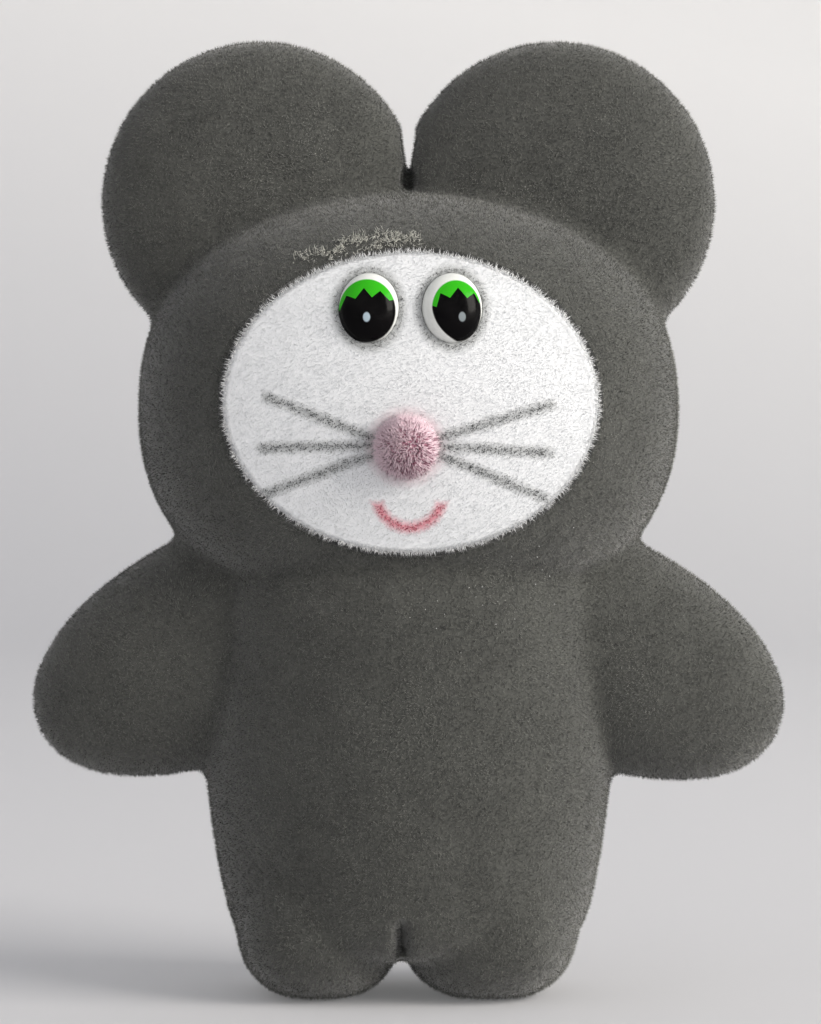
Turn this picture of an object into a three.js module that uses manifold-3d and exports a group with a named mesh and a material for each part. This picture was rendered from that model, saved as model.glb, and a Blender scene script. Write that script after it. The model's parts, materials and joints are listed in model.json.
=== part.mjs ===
// A clockwork dancing mouse, in millimetres. The figure is a hollow moulding in a front and a back half,
// 120 mm tall, with the ears, arms and legs moulded in one with it. A white face plate carries the eyes and
// the nose. A spring motor is screwed into the back half: its key is outside the back, and its fastest arbor
// swings an eccentric weight that shakes the figure, so that it dances round on its flat soles.
// x runs across the figure, y from its face (-y) to its back (+y), and z up from the surface it stands on.
import * as THREE from "three";
import { mergeVertices } from "three/addons/utils/BufferGeometryUtils.js";
import Module from "manifold-3d";

const wasm = await Module();
wasm.setup();

// ---- Driving dimensions ----

const facets = { outside: 24, hollow: 16, face: 28, eye: 16 }; // round the figure, its hollow and the pieces

// The hollow figure. Half sizes are from the middle to the outside.
const wall = 1.8;
const seamGap = 0.3; // between the front and the back half
const head = { halfWidth: 34.2, halfDepth: 25, halfHeight: 27, z: 73.8, squareness: 2.3 };
const ear = { radius: 20.1, halfThickness: 7.5, x: 18.55, aboveHead: 25.8, squareness: 2.4 };
const torso = { halfWidth: 26, halfDepth: 20.4, widestZ: 38, taper: 0.0043, topZ: 62 };
const torsoTopRound = 14;
const footRound = 6.5;
const arm = { halfLength: 27.5, halfDepth: 10.5, halfHeight: 14, x: 22, z: 44.8, droopDegrees: 24.5 };
const legGap = { height: 3.6, halfWidth: 4.4, creaseTop: 9.7, creaseDepth: 2.2, creaseWidth: 1.8 };
const keel = { halfWidth: 2.8, aboveCrease: 1.7 }; // solid between the feet, so that the gap opens no hollow

// The face plate, in a recess of the head, with the eyes and the nose on it.
const face = { halfWidth: 22.7, halfHeight: 18.2, z: 73.5, rimThickness: 1.9, dome: 3, edgeRound: 0.9 };
const faceSetBack = 6.2; // from the head's foremost point to the recess's floor
const recessClearance = 0.5;
const facePeg = { radius: 1.3, length: 1.6, x: 15 };
const eye = { halfWidth: 3.6, halfHeight: 4.3, bulge: 2.4, sink: 0.5, x: 4.95, up: 11.1 };
const eyeTurn = { outDegrees: 5, upDegrees: 9 }; // each eye looks a little outwards and up
const stem = { radius: 1.1, length: 5 };
const nose = { radius: 3.7, x: -0.7, down: 5.4, standOut: 1.4 };
const seatClearance = 0.3; // between a piece and the seat or hole that takes it

// Posts that line the two halves up, with pins on the back half in sockets of the front half.
const post = { radius: 2.3, pinRadius: 1, pinLength: 4, fromHeadSide: 7.2, outAlongArm: 10 };

// The spring motor. Its plates lie across the figure, and its arbors run from front to back.
const plate = { thickness: 0.8, apart: 14.4, edge: 2.6, aboveKeel: 0.6 };
const screw = { radius: 0.8, headRadius: 1.8, headHeight: 1.2, slotWidth: 0.5, length: 5 };
const bossRadius = 2.4;
const pillar = { radius: 1.4, tenonRadius: 0.7, headRadius: 1.2, headHeight: 0.4 };
// The screws and pillars stand outside a wheel's teeth: how far, and in which direction from its arbor.
const roundGreatWheel = {
  pillars: [
    { degrees: 131, gap: 3.4 },
    { degrees: 49, gap: 3.4 },
  ],
  screws: [
    { degrees: 90, gap: 1.5 },
    { degrees: 226, gap: 3.8 },
    { degrees: -30, gap: 0.4 },
  ],
};
const roundSecondWheel = {
  pillars: [
    { degrees: 210, gap: 1.2 },
    { degrees: 250, gap: 0.8 },
  ],
  screws: [{ degrees: 288, gap: 0.8 }],
};
const runningClearance = 0.15; // round a turning shaft
const pressClearance = 0.1; // between two pieces fixed to each other
const endPlay = 0.1;

// The gear train. Each wheel drives the next arbor's pinion, which has the same module.
const pinionOverhang = 0.7; // a pinion stands out this far on both sides of the wheel that drives it
const wheelGap = 0.3; // along the arbors, from a wheel to the pinion next to it
const inFrontOf = (y, thickness) => [y - thickness, y];
const drivenBy = (wheel, teeth) => ({
  teeth,
  module: wheel.module,
  y: [wheel.y[0] - pinionOverhang, wheel.y[1] + pinionOverhang],
});
const greatWheel = { teeth: 36, module: 0.8, y: inFrontOf(-0.2, 1.2) };
const secondPinion = drivenBy(greatWheel, 9);
const thirdWheel = { teeth: 24, module: 0.5, y: inFrontOf(secondPinion.y[0] - wheelGap, 0.8) };
const secondWheelY = thirdWheel.y[0] - wheelGap - pinionOverhang;
const secondWheel = { teeth: 30, module: 0.6, y: inFrontOf(secondWheelY, 1) };
const thirdPinion = drivenBy(secondWheel, 8);
const governorPinion = drivenBy(thirdWheel, 8);
const meshPlay = 0.1; // added to each pair's distance
// How far a tooth reaches in and out of the pitch circle, in modules, and its widths at the root and at the
// tip, as shares of the pitch.
const tooth = { root: 1.15, tip: 0.85, wheelWidths: [0.62, 0.2], pinionWidths: [0.46, 0.2] };
const secondDirection = -90; // degrees, seen from the front with x to the right: where the next arbor lies
const thirdDirection = -22.5;
const governorDirection = 69;

const winding = { radius: 1.6, pivotRadius: 1.1, barrelRadius: 2.3, tailRadius: 1.9, square: 2.6 };
const arbor = { radius: 0.8, pivotRadius: 0.55 };
const weight = { radius: 4.6, y: [1.4, 4.4], hubRadius: 1.7 };
const spring = { thickness: 0.35, y: [0.7, 6.5], innerGap: 0.4, coiledWidth: 9.1, turns: 6 };
// In radians: how far before its pillar the mainspring leaves the coil, and how far it wraps round it.
const springEnd = { leavesBefore: 0.62, hookWrap: 3.6 };
const ratchet = { teeth: 12, radius: 5, toothDepth: 0.9, y: [-2.9, -1.9] };
const click = { pivotGap: 4, pivotDegrees: 38, tipDegrees: 95, lift: 0.15, width: 1.3, holeRadius: 0.8 };
const rivet = { headRadius: 1.3, headHeight: 0.3 };
const clickSpring = { thickness: 0.3, width: 0.6, footRadius: 0.8, anchorDegrees: 118, anchorGap: 4.4 };

// The key and the bush that guides its arbor through the back.
const bush = { radius: 3, flangeRadius: 4.4, flangeThickness: 0.7 };
const key = { hubRadius: 3, hubLength: 3, wingThickness: 1.3, wingReach: 4.05 };
const lobe = { radius: 3.4, x: 6.6, holeRadius: 1.5 }; // of the key's wing

// ---- Values that follow from them ----

const farY = 90; // past the whole figure
const earZ = head.z + ear.aboveHead;
const keelTop = legGap.creaseTop + keel.aboveCrease;
const armDroop = (arm.droopDegrees * Math.PI) / 180;
const postPlaces = [-1, 1].flatMap((side) => [
  [side * (head.halfWidth - post.fromHeadSide), face.z + post.radius * 2],
  [side * (arm.x + post.outAlongArm), arm.z - post.outAlongArm * Math.tan(armDroop)],
]);
const keelPinZ = (legGap.height + keelTop) / 2;

const faceFloorY = faceSetBack - head.halfDepth;
const eyeZ = face.z + eye.up;
const noseZ = face.z - nose.down;
const faceRimY = faceFloorY - face.rimThickness;
const eyeBackY = faceRimY - domeAt(eye.x, eyeZ) + eye.sink; // the middle of an eye's flat back
const noseY = faceRimY - domeAt(nose.x, noseZ) - nose.standOut; // the middle of the ball

const plateInnerY = plate.apart / 2;
const plateOuterY = plateInnerY + plate.thickness;
const pitchRadius = (gear) => (gear.teeth * gear.module) / 2;
const tipRadius = (gear) => pitchRadius(gear) + tooth.tip * gear.module;

// A place at a distance and in a direction from another.
const beside = ([x, z], distance, degrees) => {
  const angle = (degrees * Math.PI) / 180;
  return [x + distance * Math.cos(angle), z + distance * Math.sin(angle)];
};
const nextArbor = (place, wheel, pinion, degrees) =>
  beside(place, pitchRadius(wheel) + pitchRadius(pinion) + meshPlay, degrees);

// Where everything in the motor lies when the winding arbor is at height z.
function motorLayout(z) {
  const great = [0, z];
  const second = nextArbor(great, greatWheel, secondPinion, secondDirection);
  const third = nextArbor(second, secondWheel, thirdPinion, thirdDirection);
  const governor = nextArbor(third, thirdWheel, governorPinion, governorDirection);
  const round = (centre, wheel, list, radius) =>
    list.map((at) => beside(centre, tipRadius(wheel) + radius + at.gap, at.degrees));
  const places = (kind, radius) => [
    ...round(great, greatWheel, roundGreatWheel[kind], radius),
    ...round(second, secondWheel, roundSecondWheel[kind], radius),
  ];
  const pillars = places("pillars", pillar.radius);
  const screws = places("screws", screw.headRadius);
  return { great, second, third, governor, pillars, screws };
}
const lowestPlace = (layout) => Math.min(...[...layout.pillars, ...layout.screws].map(([, z]) => z));

// The motor stands just above the keel.
const windingZ = keelTop + plate.aboveKeel + plate.edge - lowestPlace(motorLayout(0));
const layout = motorLayout(windingZ);
const [greatX, greatZ] = layout.great;

// The back's fullest place under the flange of the key's bush.
const { clamp } = THREE.MathUtils;
const fullestZ = clamp(torso.widestZ, windingZ - bush.flangeRadius, windingZ + bush.flangeRadius);
const backAtKey = (torsoHalfWidth(fullestZ) * torso.halfDepth) / torso.halfWidth;

// ---- Solids ----

// A closed geometry as a manifold-3d solid.
function solid(geometry) {
  const bare = geometry.clone();
  bare.deleteAttribute("normal");
  bare.deleteAttribute("uv");
  const merged = mergeVertices(bare, 1e-4);
  return new wasm.Manifold(
    new wasm.Mesh({
      numProp: 3,
      vertProperties: new Float32Array(merged.attributes.position.array),
      triVerts: new Uint32Array(merged.index.array),
    }),
  );
}

// A manifold-3d solid as a geometry.
function geometryOf(made) {
  const mesh = made.getMesh();
  const positions = new Float32Array(mesh.numVert * 3);
  for (let i = 0; i < mesh.numVert; i++) {
    positions.set(mesh.vertProperties.subarray(i * mesh.numProp, i * mesh.numProp + 3), i * 3);
  }
  return new THREE.BufferGeometry()
    .setAttribute("position", new THREE.BufferAttribute(positions, 3))
    .setIndex(new THREE.BufferAttribute(new Uint32Array(mesh.triVerts), 1));
}

const joined = (pieces) => pieces.reduce((a, b) => a.add(b));
const points = (pairs) => pairs.map(([a, b]) => new THREE.Vector2(a, b));

// A box between two corners.
function box([x0, y0, z0], [x1, y1, z1]) {
  const made = new THREE.BoxGeometry(x1 - x0, y1 - y0, z1 - z0);
  return solid(made.translate((x0 + x1) / 2, (y0 + y1) / 2, (z0 + z1) / 2));
}

// A turned piece on an axis along y, from its profile of [radius, y] pairs, which runs up the axis.
function turned(profile, x = 0, z = 0, segments = 20) {
  return solid(new THREE.LatheGeometry(points(profile), segments).translate(x, 0, z));
}

// A round bar along y.
function bar(radius, y0, y1, x = 0, z = 0, segments = 20) {
  return turned([[0, y0], [radius, y0], [radius, y1], [0, y1]], x, z, segments);
}

// An outline drawn in x and z, made solid from y0 to y1.
function sheet(shape, [y0, y1], curveSegments = 10) {
  const made = new THREE.ExtrudeGeometry(shape, { depth: y1 - y0, bevelEnabled: false, curveSegments });
  return solid(made.rotateX(Math.PI / 2).translate(0, y1, 0));
}

// A round hole for an outline.
const hole = (x, z, radius) => new THREE.Path().absarc(x, z, radius, 0, 2 * Math.PI, true);

// A rounded solid between an ellipsoid (squareness 2) and a box, with its poles on the y axis.
function rounded(halfX, halfY, halfZ, squareness, around, rings) {
  const made = new THREE.SphereGeometry(1, around, rings);
  const place = made.attributes.position;
  for (let i = 0; i < place.count; i++) {
    const p = [place.getX(i), place.getY(i), place.getZ(i)];
    const stretch = p.reduce((sum, v) => sum + Math.abs(v) ** squareness, 0) ** (-1 / squareness);
    place.setXYZ(i, p[0] * stretch * halfX, p[1] * stretch * halfY, p[2] * stretch * halfZ);
  }
  return made;
}

// ---- The hollow figure ----

// Half the torso's width at a height, without the rounding at its two ends.
function torsoHalfWidth(z) {
  return torso.halfWidth - torso.taper * (z - torso.widestZ) ** 2;
}

// The torso, smaller by inset all round.
function torsoSolid(inset, segments) {
  const profile = [[0, inset]];
  const rise = (round, steps) =>
    Array.from({ length: steps + 1 }, (_, i) => {
      const angle = (i / steps) * (Math.PI / 2);
      return [round * Math.sin(angle), round * (1 - Math.cos(angle))]; // how far in, how far along
    });
  for (const [sine, along] of rise(footRound, 4)) {
    profile.push([torsoHalfWidth(along) - footRound + sine - inset, Math.max(along, inset)]);
  }
  const sideTop = torso.topZ - torsoTopRound;
  const sideSteps = 6;
  for (let i = 1; i < sideSteps; i++) {
    const z = footRound + ((sideTop - footRound) * i) / sideSteps;
    profile.push([torsoHalfWidth(z) - inset, z]);
  }
  for (const [sine, along] of rise(torsoTopRound, 4).reverse()) {
    const z = torso.topZ - along;
    profile.push([torsoHalfWidth(z) - torsoTopRound + sine - inset, Math.min(z, torso.topZ - inset)]);
  }
  profile.push([0, torso.topZ - inset]);
  const rising = profile.filter(([, z], i) => i < 2 || z > profile[i - 1][1] || i === profile.length - 1);
  const depthShare = (torso.halfDepth - inset) / (torso.halfWidth - inset);
  const made = new THREE.LatheGeometry(points(rising), segments);
  return solid(made.rotateX(Math.PI / 2).scale(1, depthShare, 1));
}

// The whole figure's outside, or its hollow when it is smaller by inset.
function figure(inset, segments) {
  const rings = Math.round(segments * 0.4);
  const pieces = [torsoSolid(inset, segments)];
  const headSizes = [head.halfWidth, head.halfDepth, head.halfHeight].map((v) => v - inset);
  const headShape = rounded(...headSizes, head.squareness, segments, segments / 2);
  pieces.push(solid(headShape.translate(0, 0, head.z)));
  for (const side of [-1, 1]) {
    const armSizes = [arm.halfLength, arm.halfDepth, arm.halfHeight].map((v) => v - inset);
    const armShape = rounded(...armSizes, 2, 2 * Math.round(segments / 3), rings);
    armShape.rotateY(side * armDroop).translate(side * arm.x, 0, arm.z);
    pieces.push(solid(armShape));
    const earSizes = [ear.radius, ear.halfThickness, ear.radius].map((v) => v - inset);
    const earShape = rounded(...earSizes, ear.squareness, segments, rings);
    pieces.push(solid(roundOutline(earShape).translate(side * ear.x, 0, earZ)));
  }
  return joined(pieces);
}

// Turns a rounded solid's outline, seen from the front, back into a true circle.
function roundOutline(made) {
  const place = made.attributes.position;
  for (let i = 0; i < place.count; i++) {
    const [x, z] = [place.getX(i), place.getZ(i)];
    const radius = Math.hypot(x, z);
    const squared = (Math.abs(x) ** ear.squareness + Math.abs(z) ** ear.squareness) ** (1 / ear.squareness);
    const back = radius > 1e-6 ? squared / radius : 1;
    place.setXYZ(i, x * back, place.getY(i), z * back);
  }
  return made;
}

// The gap between the feet: two rounded toes that meet at a point, right through, and a crease above it.
function legGapSolid() {
  const outline = new THREE.Shape();
  const { height, halfWidth } = legGap;
  outline.moveTo(-halfWidth, -1);
  outline.lineTo(halfWidth, -1);
  outline.lineTo(halfWidth, 0);
  outline.quadraticCurveTo(0.6, 0, 0, height);
  outline.quadraticCurveTo(-0.6, 0, -halfWidth, 0);
  const far = torso.halfDepth + 5;
  const creases = [-1, 1].map((side) => {
    const edge = ((torsoHalfWidth(legGap.creaseTop) * torso.halfDepth) / torso.halfWidth) * side;
    const wedge = new THREE.Shape(
      points([
        [-legGap.creaseWidth, -edge - 2 * side],
        [legGap.creaseWidth, -edge - 2 * side],
        [0, -edge + legGap.creaseDepth * side],
      ]),
    );
    return solid(new THREE.ExtrudeGeometry(wedge, { depth: legGap.creaseTop, bevelEnabled: false }));
  });
  return joined([sheet(outline, [-far, far], 4), ...creases]);
}

const outside = figure(0, facets.outside).subtract(legGapSolid());

const faceOpening = (grow, y0, y1, segments = facets.face) => {
  const made = new THREE.CylinderGeometry(1, 1, y1 - y0, segments);
  made.scale(face.halfWidth + grow, 1, face.halfHeight + grow);
  return solid(made.translate(0, (y0 + y1) / 2, face.z));
};
const keelSolid = box([-keel.halfWidth, -farY, -1], [keel.halfWidth, farY, keelTop]);
const faceBacking = faceOpening(recessClearance + wall, -farY, faceFloorY + wall, facets.hollow);
const hollow = figure(wall, facets.hollow).subtract(keelSolid).subtract(faceBacking);
const shell = outside.subtract(hollow);

const frontSide = box([-farY, -farY, -1], [farY, -seamGap / 2, 2 * farY]);
const backSide = box([-farY, seamGap / 2, -1], [farY, farY, 2 * farY]);

const postOf = (y0, y1) => joined(postPlaces.map(([x, z]) => bar(post.radius, y0, y1, x, z, 10)));
const pinPlaces = [...postPlaces, [0, keelPinZ]];
const sockets = joined(
  pinPlaces.map(([x, z]) => bar(post.pinRadius + seatClearance, -post.pinLength - 1, 1, x, z, 10)),
);
const pins = joined(pinPlaces.map(([x, z]) => bar(post.pinRadius, -post.pinLength, 1, x, z, 10)));

const eyeSides = [
  { name: "right_eye", side: -1 },
  { name: "left_eye", side: 1 },
];

// How far the face plate's dome stands out at a place.
function domeAt(x, z) {
  return face.dome * (1 - (x / face.halfWidth) ** 2 - ((z - face.z) / face.halfHeight) ** 2);
}

// The holes for the eyes' and the nose's stems, through the face plate and the head's wall behind it.
function stemHoles() {
  const radius = stem.radius + seatClearance;
  const hole = bar(radius, -1, stem.length + 2, 0, 0, 12);
  const eyeHoles = eyeSides.map(({ side }) => placeEye(hole, side));
  return joined([...eyeHoles, bar(radius, noseY, 0, nose.x, noseZ, 12)]);
}
const pegHoles = joined(
  [-1, 1].map((side) => bar(facePeg.radius + seatClearance, -farY, 0, side * facePeg.x, face.z, 12)),
);

const frontShell = shell
  .intersect(frontSide)
  .add(postOf(-farY, -seamGap / 2).intersect(outside))
  .subtract(sockets)
  .subtract(faceOpening(recessClearance, -farY, faceFloorY))
  .subtract(stemHoles())
  .subtract(pegHoles);

const bossFaceY = plateOuterY + pressClearance;
const bossRoom = joined(layout.screws.map(([x, z]) => bar(bossRadius, bossFaceY, farY, x, z, 10)));
const pilotEndY = plateOuterY + screw.length + 2 * seatClearance;
const pilotHoles = joined(
  layout.screws.map(([x, z]) => bar(screw.radius + seatClearance, 0, pilotEndY, x, z, 10)),
);
const backShell = shell
  .intersect(backSide)
  .add(postOf(seamGap / 2, farY).intersect(outside))
  .add(pins)
  .add(bossRoom.intersect(outside))
  .subtract(pilotHoles)
  .subtract(bar(bush.radius + seatClearance, plateOuterY, farY, 0, windingZ));

// ---- Face plate, eyes and nose ----

// A domed eye with its stem, facing -y with the middle of its flat back at the origin.
function eyeSolid() {
  const dome = new THREE.SphereGeometry(1, facets.eye, facets.eye / 2);
  dome.scale(eye.halfWidth, eye.bulge, eye.halfHeight);
  const front = solid(dome).subtract(box([-farY, 0, -farY], [farY, farY, farY]));
  return front.add(bar(stem.radius, -eye.bulge / 2, stem.length, 0, 0, 12));
}

// The flat-bottomed seat an eye lies in.
function eyeSeat() {
  const reach = eye.bulge + seatClearance;
  const made = new THREE.CylinderGeometry(1, 1, reach + seatClearance, facets.eye);
  made.scale(eye.halfWidth + seatClearance, 1, eye.halfHeight + seatClearance);
  return solid(made.translate(0, (seatClearance - reach) / 2, 0));
}

// Turns and places an eye piece, which is made facing -y at the origin.
function placeEye(made, side) {
  return made
    .rotate([-eyeTurn.upDegrees, 0, 0])
    .rotate([0, 0, side * eyeTurn.outDegrees])
    .translate([side * eye.x, eyeBackY, eyeZ]);
}

function facePlate() {
  const steps = 4;
  const flat = face.halfWidth - face.edgeRound;
  const profile = [];
  for (let i = 0; i <= steps; i++) {
    const radius = (flat * i) / steps;
    profile.push([radius, faceRimY - face.dome * (1 - (radius / face.halfWidth) ** 2)]);
  }
  profile.push([face.halfWidth, faceRimY + face.edgeRound]);
  profile.push([face.halfWidth, faceFloorY - pressClearance]);
  profile.push([0, faceFloorY - pressClearance]);
  const made = new THREE.LatheGeometry(points(profile), facets.face);
  made.scale(1, 1, face.halfHeight / face.halfWidth).translate(0, 0, face.z);
  const body = solid(made);
  const pegs = [-1, 1].map((side) =>
    bar(facePeg.radius, faceRimY, faceFloorY + facePeg.length, side * facePeg.x, face.z, 12),
  );
  const noseSeat = solid(new THREE.SphereGeometry(nose.radius + seatClearance, 16, 10));
  return joined([body, ...pegs])
    .subtract(joined(eyeSides.map(({ side }) => placeEye(eyeSeat(), side))))
    .subtract(noseSeat.translate([nose.x, noseY, noseZ]))
    .subtract(stemHoles());
}

function noseSolid() {
  const ball = solid(new THREE.SphereGeometry(nose.radius, 18, 12)).translate([nose.x, noseY, noseZ]);
  return ball.add(bar(stem.radius, noseY, noseY + nose.radius + stem.length, nose.x, noseZ, 12));
}

// ---- Motor frame ----

// The tightest outline round a set of places, anticlockwise.
function stretchedRound(places) {
  const sorted = places.toSorted((a, b) => a[0] - b[0] || a[1] - b[1]);
  const turnsRight = ([ax, az], [bx, bz], [cx, cz]) => (bx - ax) * (cz - az) - (bz - az) * (cx - ax) <= 0;
  const chain = (list) => {
    const kept = [];
    for (const place of list) {
      while (kept.length > 1 && turnsRight(kept.at(-2), kept.at(-1), place)) kept.pop();
      kept.push(place);
    }
    return kept.slice(0, -1);
  };
  return [...chain(sorted), ...chain(sorted.reverse())];
}

// A plate's edge runs at one distance round all its holes.
function motorPlate([y0, y1], windingHole, isFront) {
  const arbors = [layout.second, layout.third, layout.governor];
  const cornerPoints = 12;
  const rings = [...layout.pillars, ...layout.screws, ...arbors].flatMap((place) =>
    Array.from({ length: cornerPoints }, (_, i) => beside(place, plate.edge, (i * 360) / cornerPoints)),
  );
  const outline = new THREE.Shape(points(stretchedRound(rings)));
  const pivotHole = arbor.pivotRadius + runningClearance;
  outline.holes.push(hole(greatX, greatZ, windingHole + runningClearance));
  outline.holes.push(...arbors.map(([x, z]) => hole(x, z, pivotHole)));
  outline.holes.push(...layout.pillars.map(([x, z]) => hole(x, z, pillar.tenonRadius + pressClearance)));
  // The front plate's holes let the screwdriver through to the screws, which hold the back plate.
  const screwHole = isFront ? screw.headRadius + seatClearance : screw.radius + seatClearance;
  outline.holes.push(...layout.screws.map(([x, z]) => hole(x, z, screwHole)));
  return sheet(outline, [y0, y1], 5);
}

function pillarSolid([x, z]) {
  const shoulder = plateInnerY - pressClearance;
  const under = plateOuterY + pressClearance;
  const end = under + pillar.headHeight;
  const half = [
    [pillar.headRadius, -end],
    [pillar.headRadius, -under],
    [pillar.tenonRadius, -under],
    [pillar.tenonRadius, -shoulder],
    [pillar.radius, -shoulder],
  ];
  const other = half.map(([r, y]) => [r, -y]).reverse();
  return turned([[0, -end], ...half, ...other, [0, end]], x, z, 12);
}

function screwSolid([x, z]) {
  const underHead = plateInnerY - pressClearance;
  const top = underHead - screw.headHeight;
  const tip = plateOuterY + screw.length;
  const body = turned(
    [
      [0, top],
      [screw.headRadius * 0.75, top],
      [screw.headRadius, top + screw.headHeight * 0.5],
      [screw.headRadius, underHead],
      [screw.radius, underHead],
      [screw.radius, tip - 1],
      [0, tip],
    ],
    x,
    z,
    12,
  );
  const slot = box(
    [x - screw.headRadius, top - 1, z - screw.slotWidth / 2],
    [x + screw.headRadius, top + screw.headHeight * 0.4, z + screw.slotWidth / 2],
  );
  return body.subtract(slot);
}

// ---- Gear train ----

// A gear's outline on (x, z), with straight flanks.
function gearOutline(gear, bore, [x, z], turnDegrees, widths) {
  const pitch = pitchRadius(gear);
  const radii = [pitch - tooth.root * gear.module, pitch + tooth.tip * gear.module];
  const step = (2 * Math.PI) / gear.teeth;
  const start = (turnDegrees * Math.PI) / 180;
  const outline = [];
  for (let i = 0; i < gear.teeth; i++) {
    const middle = start + i * step;
    const left = radii.map((r, k) => [r, middle - (step * widths[k] * pitch) / radii[k] / 2]);
    const right = radii.map((r, k) => [r, middle + (step * widths[k] * pitch) / radii[k] / 2]).reverse();
    outline.push(...[...left, ...right].map(([r, a]) => [x + r * Math.cos(a), z + r * Math.sin(a)]));
  }
  const shape = new THREE.Shape(points(outline));
  shape.holes.push(hole(x, z, bore));
  return shape;
}

// The turn that puts a tooth gap of the pinion at the middle of a tooth of the wheel that drives it.
function inMesh(wheel, wheelTurn, pinion, degrees) {
  const wheelStep = 360 / wheel.teeth;
  const pinionStep = 360 / pinion.teeth;
  const pastTooth = (((degrees - wheelTurn) % wheelStep) + wheelStep) % wheelStep;
  const pinionPhase = (pastTooth / wheelStep) * pinionStep;
  return degrees + 180 + pinionPhase + pinionStep / 2;
}

const greatTurn = 0;
const secondTurn = inMesh(greatWheel, greatTurn, secondPinion, secondDirection);
const thirdTurn = inMesh(secondWheel, secondTurn, thirdPinion, thirdDirection);
const governorTurn = inMesh(thirdWheel, thirdTurn, governorPinion, governorDirection);

const trainBore = arbor.radius + pressClearance;
const wheelSolid = (gear, bore, place, turn) =>
  sheet(gearOutline(gear, bore, place, turn, tooth.wheelWidths), gear.y, 5);
const pinionSolid = (gear, place, turn) =>
  sheet(gearOutline(gear, trainBore, place, turn, tooth.pinionWidths), gear.y, 5);

function trainArbor([x, z]) {
  const shoulder = plateInnerY - endPlay;
  const end = plateOuterY + 0.5;
  return turned(
    [
      [0, -end],
      [arbor.pivotRadius, -end],
      [arbor.pivotRadius, -shoulder],
      [arbor.radius, -shoulder],
      [arbor.radius, shoulder],
      [arbor.pivotRadius, shoulder],
      [arbor.pivotRadius, end],
      [0, end],
    ],
    x,
    z,
    12,
  );
}

// Half a disc that hangs to one side of the last arbor.
function weightSolid() {
  const [x, z] = layout.governor;
  const outline = new THREE.Shape();
  outline.absarc(x, z, weight.radius, Math.PI, 2 * Math.PI, false);
  outline.absarc(x, z, weight.hubRadius, 0, Math.PI, false);
  outline.holes.push(hole(x, z, trainBore));
  return sheet(outline, weight.y, 10);
}

function windingArbor() {
  const { radius, pivotRadius, barrelRadius, tailRadius, square } = winding;
  const [barrelStart, barrelEnd] = [spring.y[0] - 0.3, plateInnerY - endPlay];
  const squareStart = backAtKey - bush.flangeThickness - 2;
  const profile = [
    [0, -plateOuterY - 0.5],
    [pivotRadius, -plateOuterY - 0.5],
    [pivotRadius, -plateInnerY + endPlay],
    [radius, -plateInnerY + endPlay],
    [radius, barrelStart],
    [barrelRadius, barrelStart],
    [barrelRadius, barrelEnd],
    [tailRadius, barrelEnd],
    [tailRadius, squareStart],
    [0, squareStart],
  ];
  const half = square / 2;
  const end = hubStartY + key.hubLength - 2 * seatClearance;
  const squareEnd = box([-half, squareStart - 1, greatZ - half], [half, end, greatZ + half]);
  return turned(profile, greatX, greatZ, 16).add(squareEnd);
}

function ratchetSolid() {
  const outline = [];
  const step = (2 * Math.PI) / ratchet.teeth;
  for (let i = 0; i < ratchet.teeth; i++) {
    const angle = i * step;
    outline.push([ratchet.radius * Math.cos(angle), ratchet.radius * Math.sin(angle)]);
    const low = ratchet.radius - ratchet.toothDepth;
    outline.push([low * Math.cos(angle + 0.04), low * Math.sin(angle + 0.04)]);
  }
  const shape = new THREE.Shape(points(outline.map(([x, z]) => [x + greatX, z + greatZ])));
  shape.holes.push(hole(greatX, greatZ, winding.radius + pressClearance));
  return sheet(shape, ratchet.y, 6);
}

// A place outside the ratchet's teeth.
const offRatchet = (gap, degrees) => beside(layout.great, ratchet.radius + gap, degrees);
const clickPivot = offRatchet(click.pivotGap, click.pivotDegrees);
const clickTip = offRatchet(click.lift, click.tipDegrees);

// The click: a pawl on the great wheel whose tip rides just clear of the ratchet's teeth.
function clickSolid() {
  const [px, pz] = clickPivot;
  const [tx, tz] = clickTip;
  const length = Math.hypot(tx - px, tz - pz);
  const [ux, uz] = [(tx - px) / length, (tz - pz) / length];
  const [nx, nz] = [uz, -ux]; // away from the ratchet
  const at = (along, out) => [px + ux * along + nx * out, pz + uz * along + nz * out];
  const pawl = new THREE.Shape(
    points([
      at(0, click.width),
      at(0, -click.width * 0.6),
      at(length * 0.6, 0.35),
      at(length, 0),
      at(length * 0.94, click.width * 0.9),
    ]),
  );
  return sheet(pawl, ratchet.y)
    .add(bar(click.width, ...ratchet.y, px, pz, 14))
    .subtract(bar(click.holeRadius, -farY, farY, px, pz, 10));
}

function clickRivet() {
  const [x, z] = clickPivot;
  const shank = click.holeRadius - runningClearance;
  const front = ratchet.y[0] - endPlay;
  const back = greatWheel.y[1] + endPlay;
  const { headRadius, headHeight } = rivet;
  return turned(
    [
      [0, front - headHeight],
      [headRadius, front - headHeight],
      [headRadius, front],
      [shank, front],
      [shank, back],
      [headRadius, back],
      [headRadius, back + headHeight],
      [0, back + headHeight],
    ],
    x,
    z,
    12,
  );
}

// A strip of metal bent along a line of points in x and z.
function strip(line, thickness, ys) {
  const left = [];
  const right = [];
  line.forEach(([x, z], i) => {
    const [ax, az] = line[Math.max(i - 1, 0)];
    const [bx, bz] = line[Math.min(i + 1, line.length - 1)];
    const length = Math.hypot(bx - ax, bz - az);
    const [nx, nz] = [(-(bz - az) / length) * (thickness / 2), ((bx - ax) / length) * (thickness / 2)];
    left.push([x + nx, z + nz]);
    right.push([x - nx, z - nz]);
  });
  return sheet(new THREE.Shape(points([...left, ...right.reverse()])), ys);
}

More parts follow.
